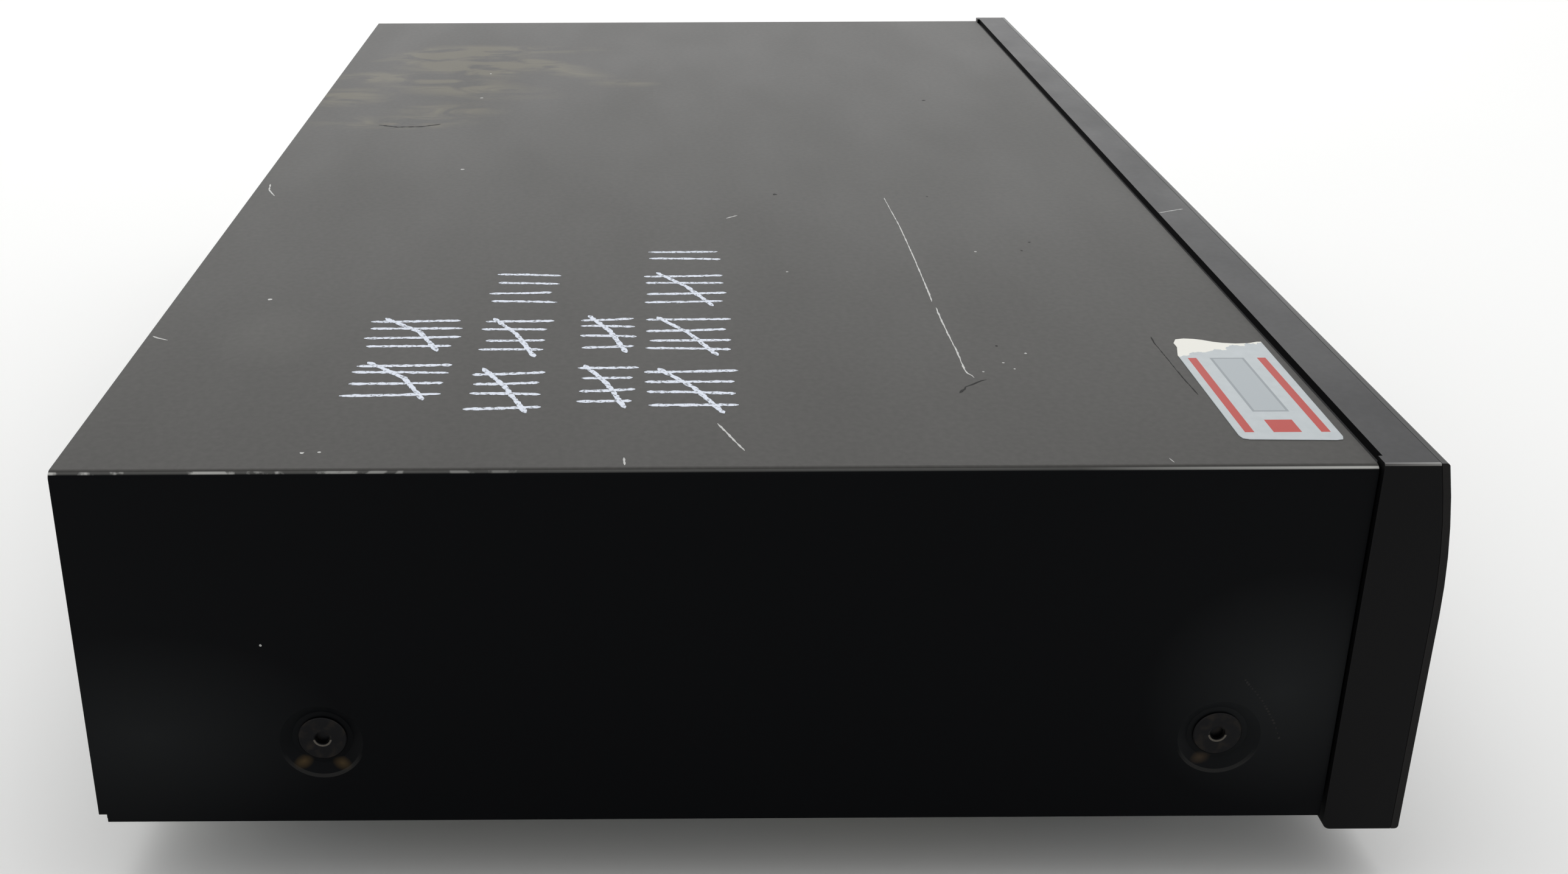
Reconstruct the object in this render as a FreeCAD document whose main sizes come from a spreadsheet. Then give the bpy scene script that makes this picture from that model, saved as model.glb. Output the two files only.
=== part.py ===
import FreeCAD, Part
import math
import os
import re
import Sketcher

# Universal disc player: a full-width case with a motor-driven disc tray, seen from outside as a
# U-shaped steel cover, a moulded fascia with a curved front plate, four feet and rear sockets.
# +Z is up, the front looks along -Y, and +X is to the right of someone who faces the front.
# The origin is on the floor, under the middle of the whole player.

doc = FreeCAD.newDocument("disc_player")

SIZES = {
    # Case, in millimetres like every length here
    "cover_width": 434.0,
    "cover_length": 270.0,
    "side_height": 86.6,
    "sheet_thick": 1.0,
    "bend_radius": 1.5,
    "foot_height": 17.5,
    "jack_reach": 9.0,
    "panel_gap": 0.2,
    "fit_gap": 0.3,
    # Dished screw seats in the cover's sides
    "dimple_radius": 9.0,
    "dimple_floor_radius": 6.6,
    "dimple_depth": 1.6,
    "dimple_front": 24.8,
    "dimple_rear": 219.5,
    "dimple_rise": 21.0,
    "corner_notch_long": 1.8,
    "corner_notch_tall": 2.0,
    "lip_height": 9.0,
    "lip_inset": 6.0,
    "lip_screw_drop": 5.5,
    "lip_screw_inset": 67.0,
    # Base chassis
    "flange_height": 32.0,
    "front_flange_height": 24.0,
    "rear_flange_height": 9.0,
    "floor_setback": 0.5,
    "bead_height": 1.5,
    "bead_width": 9.0,
    "stand_height": 8.0,
    "stand_radius": 4.6,
    "stand_top_radius": 3.4,
    "vent_length": 22.0,
    "vent_width": 3.0,
    "vent_pitch": 8.0,
    # Fascia and front plate
    "fascia_depth": 17.4,
    "fascia_over_top": 1.1,
    "fascia_over_side": 1.0,
    "fascia_below": 2.9,
    "top_setback": 3.8,
    "curve_height": 35.8,
    "plate_thick": 1.6,
    "plate_bond": 0.1,
    "fascia_wall": 2.5,
    "seam_gap": 0.5,
    "groove_width": 0.9,
    "groove_depth": 2.0,
    "groove_end": 3.5,
    "edge_radius": 0.8,
    "skirt_radius": 1.8,
    "tab_width": 20.0,
    "tab_reach": 14.0,
    "tab_inset": 67.0,
    "rib_thick": 2.0,
    # Display
    "window_width": 140.0,
    "window_height": 22.0,
    "window_rise": 25.5,
    "window_seat": 3.0,
    "window_gap": 0.1,
    "tube_depth": 6.0,
    # Front board and push keys
    "board_thick": 1.6,
    "front_board_back": 7.2,
    "front_board_inset": 10.0,
    "front_board_rise": 2.5,
    "front_board_height": 42.5,
    "front_screw_inset": 4.0,
    "front_screw_rise": 5.0,
    "button_proud": 0.6,
    "key_gap": 0.3,
    "key_rim": 1.4,
    "key_rim_thick": 1.0,
    "key_travel": 0.6,
    "key_round": 0.7,
    "key_width": 17.0,
    "key_height": 8.0,
    "switch_size": 6.0,
    "switch_body": 3.5,
    "switch_plunger": 1.5,
    "power_radius": 7.5,
    "power_inset": 29.0,
    "key_row_high": 37.0,
    "key_row_low": 17.5,
    "stop_key_inset": 29.0,
    "key_pitch": 23.0,
    "open_key_apart": 84.0,
    # USB-shaped socket at the front
    "usb_width": 13.2,
    "usb_height": 5.8,
    "usb_depth": 14.0,
    "usb_shell": 0.4,
    "usb_tongue": 1.8,
    "usb_rise": 14.0,
    # Disc, tray and door
    "spindle_back": 73.9,
    "disc_radius": 60.0,
    "small_disc_radius": 40.0,
    "disc_play": 0.6,
    "tray_rise": 54.5,
    "tray_half": 66.0,
    "tray_rim": 3.5,
    "tray_base": 2.6,
    "small_recess": 1.2,
    "tray_tail": 46.0,
    "tray_slot_half": 21.0,
    "tray_slot_front": 23.0,
    "tray_travel": 134.0,
    "runner_width": 3.0,
    "runner_thick": 2.0,
    "runner_play": 0.15,
    "door_width": 148.0,
    "door_low": 47.0,
    "door_height": 18.0,
    "door_depth": 8.0,
    "door_gap": 0.4,
    # Tray drive: rack, gears, pulleys and belt
    "gear_module": 1.2,
    "backlash": 0.22,
    "tray_gear_teeth": 25,
    "pinion_teeth": 10,
    "rack_across": 59.0,
    "pinion_angle": 19.0,
    "tray_gear_back": 35.9,
    "tray_gear_thick": 3.8,
    "rack_body": 3.5,
    "rack_height": 4.5,
    "axle_play": 0.05,
    "tray_gear_axle": 2.0,
    "pinion_axle": 1.5,
    "pulley_radius": 12.0,
    "pulley_flange": 1.0,
    "pulley_thick": 4.0,
    "motor_pulley_radius": 3.4,
    "belt_thick": 1.2,
    "belt_play": 0.08,
    "motor_across": 22.0,
    "motor_back": 29.4,
    "motor_radius": 9.0,
    "motor_length": 19.0,
    "motor_shaft": 1.0,
    # Loader frame
    "loader_low": 21.4,
    "loader_high": 64.5,
    "loader_wall": 2.5,
    "loader_front": 18.9,
    "loader_length": 176.0,
    "deck_rise": 35.5,
    "deck_thick": 2.0,
    "bridge_thick": 1.2,
    "bridge_half": 22.0,
    "bridge_fold": 5.0,
    "ear_reach": 13.0,
    "ear_width": 14.0,
    "ear_rise": 26.5,
    "ear_thick": 2.5,
    "ear_front": 6.0,
    "ear_rear": 28.0,
    "ear_hole_inset": 5.0,
    "bracket_foot": 11.0,
    # Traverse
    "pivot_back": 183.9,
    "pivot_rise": 41.5,
    "pivot_radius": 2.0,
    "drop_angle": 6.0,
    "traverse_half": 60.0,
    "traverse_bar": 7.0,
    "traverse_thick": 5.4,
    "traverse_low": 38.5,
    "traverse_front": 47.9,
    "traverse_length": 141.0,
    "bush_across": 46.0,
    "bush_front": 60.9,
    "bush_rear": 164.9,
    "bush_radius": 5.0,
    "bush_waist": 3.6,
    "bush_height": 5.6,
    "bush_bore": 2.1,
    "plate_deck_half": 51.0,
    "plate_deck_front": 54.9,
    "plate_deck_length": 118.0,
    "plate_deck_thick": 1.2,
    "plate_deck_rise": 44.1,
    # Cam
    "cam_travel": 22.0,
    "cam_pin_radius": 1.5,
    "cam_slot_radius": 1.95,
    "cam_pin_left": 16.0,
    "cam_pin_right": 40.0,
    "cam_thick": 3.0,
    "cam_front": 42.9,
    "cam_low": 23.1,
    "cam_height": 23.6,
    # Spindle, clamper and pickup
    "disc_lift": 2.0,
    "turntable_radius": 16.5,
    "hub_radius": 7.3,
    "spindle_radius": 1.5,
    "clamper_radius": 12.4,
    "clamper_flange": 16.5,
    "bridge_hole": 13.4,
    "pickup_inner": 23.5,
    "pickup_travel": 35.0,
    "rod_across": 27.0,
    "rod_radius": 1.5,
    "rod_drop": 3.0,
    "screw_across": 36.0,
    "lens_radius": 5.0,
    "lens_travel": 0.8,
    # Boards
    "supply_inset": 10.0,
    "supply_width": 100.0,
    "supply_front": 90.0,
    "supply_length": 185.0,
    "board_apart": 10.0,
    "main_front": 206.0,
    "audio_inset": 9.0,
    "audio_width": 104.0,
    "audio_front": 130.0,
    "audio_apart": 7.0,
    "board_rear_gap": 0.8,
    "stand_inset": 7.0,
    "screw_radius": 1.45,
    "screw_play": 0.05,
    "screw_head": 2.8,
    "screw_head_thick": 1.8,
    "board_screw_length": 6.0,
    "short_screw_length": 5.0,
    "foot_screw_length": 10.0,
    "bush_screw_length": 7.5,
    "cover_screw_length": 6.0,
    "cover_head_radius": 5.0,
    "cover_head_top_radius": 4.3,
    "cover_head_thick": 1.3,
    # Parts on the supply board
    "transformer_aside": 30.0,
    "transformer_back": 100.0,
    "core_width": 34.0,
    "core_length": 16.0,
    "core_gap": 3.0,
    "core_top": 30.0,
    "bobbin_width": 24.0,
    "bobbin_length": 28.0,
    "bobbin_top": 26.0,
    "bulk_aside": 34.0,
    "bulk_back": 58.0,
    "bulk_radius": 12.5,
    "bulk_height": 32.0,
    "can_aside": 76.0,
    "far_can_aside": 88.0,
    "first_can_back": 24.0,
    "second_can_back": 42.0,
    "third_can_back": 56.0,
    "last_can_back": 76.0,
    "first_can_radius": 6.3,
    "first_can_height": 20.0,
    "can_radius": 5.0,
    "can_height": 16.0,
    "last_can_height": 14.0,
    "sink_aside": 56.0,
    "sink_width": 22.0,
    "sink_back": 96.0,
    "sink_length": 54.0,
    "sink_height": 28.0,
    "sink_base": 4.0,
    # Parts on the main and audio boards
    "main_chip_aside": 30.0,
    "main_chip_back": 30.0,
    "main_chip_half": 13.5,
    "main_chip_thick": 2.0,
    "main_sink_half": 17.0,
    "main_sink_top": 14.0,
    "main_sink_base": 2.5,
    "connector_width": 24.0,
    "connector_back": 1.5,
    "connector_depth": 5.0,
    "connector_height": 3.2,
    "audio_can_radius": 4.0,
    "audio_can_height": 11.0,
    "audio_can_back": 40.0,
    "audio_can_pitch": 24.0,
    # Flat cables
    "cable_width": 20.0,
    "cable_thick": 0.3,
    "cable_floor_gap": 4.0,
    "cable_bend": 6.0,
    "cable_end_gap": 0.2,
    "front_cable_across": 54.0,
    "front_cable_rise": 26.0,
    "front_cable_step": 25.0,
    "front_cable_out": 2.2,
    "front_cable_back": 10.0,
    "loader_cable_across": 62.0,
    "loader_cable_rise": 30.0,
    # Rear sockets
    "jack_radius": 4.15,
    "jack_bore": 1.7,
    "jack_hole": 5.2,
    "jack_ring_proud": 0.5,
    "jack_pitch": 20.0,
    "jack_inset": 31.0,
    "jack_row_low": 12.0,
    "jack_row_pitch": 20.0,
    "inlet_inset": 41.0,
    "inlet_rise": 26.0,
    "inlet_width": 27.2,
    "inlet_height": 19.6,
    "lan_across": 6.0,
    "hdmi_across": 36.0,
    "coax_across": 62.0,
    "optical_across": 82.0,
    # Feet
    "foot_inset": 52.0,
    "foot_front": 57.0,
    "foot_rear": 246.0,
    "foot_radius": 24.0,
    "pad_thick": 2.0,
    "pad_sink": 0.8,
    "foot_well": 8.0,
}

PLACES = {
    "depth_overall": "button_proud + fascia_depth + cover_length + jack_reach",
    "front_y": "-depth_overall / 2",
    "rear_y": "depth_overall / 2",
    "face_y": "front_y + button_proud",
    "seam_y": "face_y + fascia_depth",
    "fascia_rear_y": "seam_y - seam_gap",
    "cover_rear_y": "seam_y + cover_length",
    "panel_out_y": "cover_rear_y - sheet_thick - panel_gap",
    "panel_in_y": "panel_out_y - sheet_thick",
    "under_z": "foot_height",
    "floor_z": "under_z + sheet_thick",
    "top_z": "under_z + side_height",
    "inner_top_z": "top_z - sheet_thick",
    "side_x": "cover_width / 2",
    "inner_x": "side_x - sheet_thick",
    "flange_x": "side_x - dimple_depth - sheet_thick",
    "floor_front_y": "seam_y + floor_setback",
    "tab_spread": "side_x - tab_inset",
    "lip_screw_spread": "side_x - lip_screw_inset",
    "front_board_half": "side_x - front_board_inset",
    "front_screw_across": "front_board_half - front_screw_inset",
    "power_across": "side_x - power_inset",
    "stop_key_across": "side_x - stop_key_inset",
    "pause_key_across": "stop_key_across - key_pitch",
    "play_key_across": "pause_key_across - key_pitch",
    "open_key_across": "stop_key_across - open_key_apart",
    "supply_left": "side_x - supply_inset",
    "supply_right": "supply_left - supply_width",
    "audio_right": "side_x - audio_inset",
    "audio_left": "audio_right - audio_width",
    "main_left": "board_apart - supply_right",
    "main_right": "audio_left - audio_apart",
    "jack_first": "side_x - jack_inset - 3 * jack_pitch",
    "inlet_across": "side_x - inlet_inset",
    "foot_across": "side_x - foot_inset",
    "fascia_low_z": "under_z - fascia_below",
    "fascia_top_z": "top_z + fascia_over_top",
    "fascia_side_x": "side_x + fascia_over_side",
    "curve_low_z": "fascia_top_z - curve_height",
    "curve_radius": "(curve_height ^ 2 + top_setback ^ 2) / (2 * top_setback)",
    "plate_back": "plate_thick + plate_bond",
    "wall_back_y": "face_y + plate_back + fascia_wall",
    "screw_seat_z": "under_z + dimple_rise",
    "lip_screw_z": "top_z - lip_screw_drop",
    "window_low_z": "fascia_low_z + window_rise",
    "window_high_z": "window_low_z + window_height",
    "board_front_y": "wall_back_y + front_board_back",
    "front_board_low_z": "fascia_low_z + fascia_wall + front_board_rise",
    "plunger_y": "board_front_y - switch_body - switch_plunger",
    "spindle_y": "face_y + spindle_back",
    "tray_floor_z": "under_z + tray_rise",
    "tray_top_z": "tray_floor_z + tray_rim",
    "tray_bottom_z": "tray_floor_z - tray_base",
    "tray_rear_y": "spindle_y + disc_radius + tray_tail",
    "door_low_z": "under_z + door_low",
    "door_high_z": "door_low_z + door_height",
    "door_back_y": "face_y + door_depth",
    "runner_low_z": "tray_floor_z - runner_thick / 2",
    "runner_x": "tray_half + runner_width",
    "wall_x": "runner_x + fit_gap",
    "wall_out_x": "wall_x + loader_wall",
    "loader_low_z": "under_z + loader_low",
    "loader_high_z": "under_z + loader_high",
    "loader_front_y": "face_y + loader_front",
    "loader_rear_y": "loader_front_y + loader_length",
    "deck_low_z": "under_z + deck_rise",
    "deck_high_z": "deck_low_z + deck_thick",
    "tray_gear_x": "tray_gear_radius - rack_across",
    "tray_gear_radius": "gear_module * tray_gear_teeth / 2",
    "pinion_radius": "gear_module * pinion_teeth / 2",
    "tray_gear_y": "face_y + tray_gear_back",
    "tray_gear_top_z": "tray_bottom_z - 0.4",
    "tray_gear_low_z": "tray_gear_top_z - tray_gear_thick",
    "pulley_low_z": "deck_high_z + 1",
    "pulley_high_z": "pulley_low_z + pulley_thick",
    "motor_y": "face_y + motor_back",
    "pivot_y": "face_y + pivot_back",
    "pivot_z": "under_z + pivot_rise",
    "traverse_low_z": "under_z + traverse_low",
    "traverse_high_z": "traverse_low_z + traverse_thick",
    "traverse_front_y": "face_y + traverse_front",
    "traverse_rear_y": "traverse_front_y + traverse_length",
    "bush_front_y": "face_y + bush_front",
    "bush_rear_y": "face_y + bush_rear",
    "plate_deck_low_z": "under_z + plate_deck_rise",
    "plate_deck_high_z": "plate_deck_low_z + plate_deck_thick",
    "plate_deck_front_y": "face_y + plate_deck_front",
    "plate_deck_rear_y": "plate_deck_front_y + plate_deck_length",
    "cam_pin_z": "traverse_high_z - 1.4",
    "cam_front_y": "face_y + cam_front",
    "cam_low_z": "under_z + cam_low",
    "cam_pin_reach": "pivot_y - cam_front_y - cam_thick / 2",
    "cam_drop": "cam_pin_reach * sin(drop_angle)",
    "disc_z": "tray_floor_z + disc_lift",
    "bridge_low_z": "loader_high_z",
    "bridge_high_z": "bridge_low_z + bridge_thick",
    "rod_z": "plate_deck_low_z - rod_drop",
    "lens_y": "spindle_y + pickup_inner",
    "stand_z": "floor_z + stand_height",
    "board_top_z": "stand_z + board_thick",
    "board_rear_y": "panel_in_y - board_rear_gap",
    "supply_front_y": "face_y + supply_front",
    "main_front_y": "face_y + main_front",
    "audio_front_y": "face_y + audio_front",
    "ear_z": "under_z + ear_rise",
    "ear_front_y": "loader_front_y + ear_front",
    "ear_rear_y": "loader_rear_y - ear_rear",
    "ear_hole_x": "wall_out_x + ear_reach - ear_hole_inset",
    "plug_y": "main_front_y + connector_back - cable_end_gap",
    "plug_z": "board_top_z + connector_height / 2",
    "jack_low_z": "board_top_z + jack_row_low",
    "inlet_z": "floor_z + inlet_rise",
    "foot_front_y": "face_y + foot_front",
    "foot_rear_y": "face_y + foot_rear",
    "foot_low_z": "pad_thick - pad_sink",
    "foot_well_z": "foot_low_z + foot_well",
}

FUNCTIONS = {"sqrt", "sin", "cos", "tan", "abs", "pi"}


def make_sheet():
    sheet = doc.addObject("Spreadsheet::Sheet", "Sizes")
    for row, (name, size) in enumerate(SIZES.items(), start=1):
        sheet.set(f"A{row}", name)
        sheet.set(f"B{row}", str(size))
        sheet.setAlias(f"B{row}", name)
    doc.recompute()
    return sheet


sizes = make_sheet()
written_out = {}


def formula(text):
    """Write a formula out in the sheet's cells, with every named place worked out."""
    text = str(text)
    if text not in written_out:
        written_out[text] = re.sub(r"[a-z_]*[a-z]", formula_word, text)
    return written_out[text]


def formula_word(found):
    word = found.group(0)
    if word in PLACES:
        return "(" + formula(PLACES[word]) + ")"
    if word in SIZES:
        return "Sizes." + word
    if word in FUNCTIONS:
        return word
    raise ValueError("no size or place is called " + word)


def number(text):
    """The value of a formula in millimetres or degrees, for loops and for drawing a first outline."""
    found = sizes.evalExpression(formula(text))
    return float(getattr(found, "Value", found))


def bind(item, **formulas):
    """Tie an object's properties to the sheet; x, y and z are its place."""
    for name, text in formulas.items():
        target = "Placement.Base." + name if name in ("x", "y", "z") else name
        item.setExpression(target, formula(text))
    return item


def named(item, label):
    item.Label = label
    return item


def block(name, across, along, up):
    """A box between two places on X, Y and Z."""
    item = doc.addObject("Part::Box", name)
    for side, start, (low, high) in (("Length", "x", across), ("Width", "y", along), ("Height", "z", up)):
        bind(item, **{side: f"({high}) - ({low})", start: low})
    return item


UPRIGHT = FreeCAD.Rotation()
ALONG_X = FreeCAD.Rotation(FreeCAD.Vector(0, 1, 0), 90)
ALONG_Y = FreeCAD.Rotation(FreeCAD.Vector(1, 0, 0), -90)
TURNED = {"x": ALONG_X, "y": ALONG_Y, "z": UPRIGHT}


def round_bar(name, axis, radius, ends, **centre):
    """A cylinder along an axis between two places; centre gives its other two coordinates."""
    item = doc.addObject("Part::Cylinder", name)
    item.Placement = FreeCAD.Placement(FreeCAD.Vector(), TURNED[axis])
    low, high = ends
    return bind(item, Radius=radius, Height=f"({high}) - ({low})", **{axis: low}, **centre)


def cone(name, axis, first_radius, last_radius, ends, **centre):
    item = doc.addObject("Part::Cone", name)
    item.Placement = FreeCAD.Placement(FreeCAD.Vector(), TURNED[axis])
    low, high = ends
    return bind(item, Radius1=first_radius, Radius2=last_radius, Height=f"({high}) - ({low})",
                **{axis: low}, **centre)


def fuse(name, pieces):
    if len(pieces) == 1:
        return pieces[0]
    item = doc.addObject("Part::MultiFuse", name)
    item.Shapes = pieces
    item.Refine = True
    return item


def cut(name, base, tools):
    item = doc.addObject("Part::Cut", name)
    item.Base = base
    item.Tool = fuse(name + "_tools", tools)
    item.Refine = True
    return item


def common(name, base, tool):
    item = doc.addObject("Part::Common", name)
    item.Base = base
    item.Tool = tool
    item.Refine = True
    return item


def group(name, pieces):
    """Separate solids of one kind, kept together in one node."""
    item = doc.addObject("Part::Compound", name)
    item.Links = pieces
    return item


def rounded(name, base, radius, choose):
    """A fillet on the edges of a finished shape that a test picks out."""
    doc.recompute()
    item = doc.addObject("Part::Fillet", name)
    item.Base = base
    size = number(radius)
    item.Edges = [(place, size, size) for place, edge in enumerate(base.Shape.Edges, start=1) if choose(edge)]
    return item


def body(name):
    return doc.addObject("PartDesign::Body", name)


def sketch(owner, name, role, height, points, arcs=None):
    """A closed outline on a plane of its body. Each point is a pair of formulas, and arcs gives the
    radius of each side that is round, by the place of its first point; the bulge is to its right."""
    arcs = arcs or {}
    plane = next(feature for feature in owner.Origin.OriginFeatures if feature.Role == role)
    drawn = owner.newObject("Sketcher::SketchObject", name)
    drawn.AttachmentSupport = [(plane, "")]
    drawn.MapMode = "FlatFace"
    drawn.setExpression("AttachmentOffset.Base.z", formula(height))
    places = [FreeCAD.Vector(number(across), number(up), 0) for across, up in points]
    for side, start in enumerate(places):
        end = places[(side + 1) % len(places)]
        if side in arcs:
            drawn.addGeometry(first_arc(start, end, number(arcs[side])), False)
        else:
            drawn.addGeometry(Part.LineSegment(start, end), False)
    ends = {side: arc_ends(drawn.Geometry[side], places[side]) for side in range(len(places))}
    for side in range(len(places)):
        after = (side + 1) % len(places)
        drawn.addConstraint(Sketcher.Constraint("Coincident", side, ends[side][1], after, ends[after][0]))
        for kind, text, value in (("DistanceX", points[side][0], places[side].x),
                                  ("DistanceY", points[side][1], places[side].y)):
            row = drawn.addConstraint(Sketcher.Constraint(kind, -1, 1, side, ends[side][0], value))
            drawn.setExpression(f"Constraints[{row}]", formula(text))
        if side in arcs:
            row = drawn.addConstraint(Sketcher.Constraint("Radius", side, number(arcs[side])))
            drawn.setExpression(f"Constraints[{row}]", formula(arcs[side]))
    return drawn


def first_arc(start, end, radius):
    """An arc from start to end that bulges to the right of the way from one to the other."""
    half = (end - start) * 0.5
    sideways = FreeCAD.Vector(half.y, -half.x, 0).normalize()
    rise = radius - math.sqrt(radius ** 2 - half.Length ** 2)
    return Part.Arc(start, start + half + sideways * rise, end)


def arc_ends(curve, start):
    """Which of a sketch curve's two ends comes first along the outline."""
    return (1, 2) if curve.StartPoint.distanceToPoint(start) < 1e-6 else (2, 1)


def pad(owner, name, drawn, length, backwards=False, both_ways=False):
    item = owner.newObject("PartDesign::Pad", name)
    item.Profile = drawn
    item.Reversed = backwards
    item.SideType = "Symmetric" if both_ways else "One side"
    item.setExpression("Length", formula(length))
    return item


def pocket(owner, name, drawn, length, backwards=False, both_ways=False):
    item = owner.newObject("PartDesign::Pocket", name)
    item.Profile = drawn
    item.Reversed = backwards
    item.SideType = "Symmetric" if both_ways else "One side"
    item.setExpression("Length", formula(length))
    return item


def soften(owner, name, radius, choose):
    """A fillet inside a body, on the edges that a test picks out of what it has so far."""
    doc.recompute()
    before = owner.Tip
    edges = [f"Edge{place}" for place, edge in enumerate(before.Shape.Edges, start=1) if choose(edge)]
    item = owner.newObject("PartDesign::Fillet", name)
    item.Base = (before, edges)
    item.setExpression("Radius", formula(radius))
    return item


def turned(name, points, **centre):
    """A piece turned about a vertical axis. Each point is a radius and a height."""
    owner = body(name)
    drawn = sketch(owner, name + "_outline", "XZ_Plane", "0", points)
    item = owner.newObject("PartDesign::Revolution", name + "_turning")
    item.Profile = drawn
    item.ReferenceAxis = (drawn, ["V_Axis"])
    item.Angle = 360
    return bind(owner, **centre)


def rectangle(low_across, high_across, low_up, high_up):
    return [(low_across, low_up), (high_across, low_up), (high_across, high_up), (low_across, high_up)]


def along(edge, axis):
    """Whether a straight edge runs along an axis."""
    way = edge.lastVertex().Point - edge.firstVertex().Point if len(edge.Vertexes) == 2 else FreeCAD.Vector()
    return way.Length > 0 and abs(abs(getattr(way, axis)) - way.Length) < 1e-6


def near(value, target):
    return abs(value - target) < 1e-4


NODES = {}


def node(name, item):
    """Keep a finished piece under the name that its file gets."""
    NODES[name] = named(item, name)
    return item


# Case

def cover_side_seats(side):
    """The dished seats of one side of the cover: metal pushed in, hollows outside, screw holes."""
    bumps, hollows = [], []
    sign = "-" if side == "left" else ""
    for end in ("front", "rear"):
        name = f"seat_{side}_{end}"
        centre = {"y": f"seam_y + dimple_{end}", "z": "screw_seat_z"}
        outer, inner = f"{sign}side_x", f"{sign}inner_x"
        step = "+" if side == "left" else "-"
        bump_ends = (f"{inner} {step} dimple_depth", inner)
        hollow_ends = (f"{outer} {step} dimple_depth", outer)
        small, large = "dimple_floor_radius", "dimple_radius"
        if side == "left":
            bump_ends, hollow_ends, (small, large) = bump_ends[::-1], hollow_ends[::-1], (large, small)
        bumps.append(cone(name + "_bump", "x", f"{small} + sheet_thick * 0.7",
                          f"{large} + sheet_thick * 0.7", bump_ends, **centre))
        hollows.append(cone(name + "_hollow", "x", small, large, hollow_ends, **centre))
        hollows.append(round_bar(name + "_hole", "x", "screw_radius + 0.3",
                                 (f"{sign}side_x - 5", f"{sign}side_x + 5"), **centre))
    return bumps, hollows


def make_top_cover():
    owner = body("cover_shell")
    profile = sketch(owner, "cover_profile", "XZ_Plane", "-cover_rear_y", [
        ("-side_x", "under_z"), ("-inner_x", "under_z"), ("-inner_x", "inner_top_z"),
        ("inner_x", "inner_top_z"), ("inner_x", "under_z"), ("side_x", "under_z"),
        ("side_x", "top_z"), ("-side_x", "top_z")])
    pad(owner, "cover_bend", profile, "cover_length")
    lip = sketch(owner, "cover_lip_outline", "XZ_Plane", "-cover_rear_y", rectangle(
        "lip_inset - side_x", "side_x - lip_inset", "top_z - lip_height", "top_z - sheet_thick / 2"))
    pad(owner, "cover_lip", lip, "sheet_thick")
    doc.recompute()
    side, top = number("side_x"), number("top_z")
    soften(owner, "cover_bends", "bend_radius", lambda edge: along(edge, "y")
           and near(edge.BoundBox.ZMax, top) and near(abs(edge.BoundBox.XMax), side))
    tools, bumps = [], []
    for side_name in ("left", "right"):
        more_bumps, hollows = cover_side_seats(side_name)
        bumps += more_bumps
        tools += hollows
    for place in (-1, 0, 1):
        tools.append(round_bar(f"lip_hole_{place + 2}", "y", "screw_radius + 0.3",
                               ("cover_rear_y - 3", "cover_rear_y + 3"),
                               x=f"{place} * lip_screw_spread", z="lip_screw_z"))
    tools.append(block("corner_notches", ("-side_x - 1", "side_x + 1"),
                       ("cover_rear_y - corner_notch_long", "cover_rear_y + 1"),
                       ("under_z - 1", "under_z + corner_notch_tall")))
    node("top_cover", cut("cover_cut", fuse("cover_formed", [owner] + bumps), tools))


STANDS = {
    "supply": [("-supply_left + stand_inset", "supply_front_y + stand_inset"),
               ("-supply_right - stand_inset", "supply_front_y + stand_inset"),
               ("-supply_left + stand_inset", "supply_front_y + supply_length - stand_inset"),
               ("-supply_right - stand_inset", "supply_front_y + supply_length - stand_inset")],
    "main": [("main_left + stand_inset", "main_front_y + stand_inset"),
             ("main_right - stand_inset", "main_front_y + stand_inset")],
    "audio": [("audio_left + stand_inset", "audio_front_y + stand_inset"),
              ("audio_right - stand_inset", "audio_front_y + stand_inset")],
}
FEET = {"front_left": ("-foot_across", "foot_front_y"), "front_right": ("foot_across", "foot_front_y"),
        "rear_left": ("-foot_across", "foot_rear_y"), "rear_right": ("foot_across", "foot_rear_y")}
FRONT_SCREW_RISES = ("front_screw_rise", "front_board_height - front_screw_rise")
EAR_STARTS = ("ear_front_y", "ear_rear_y")


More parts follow.
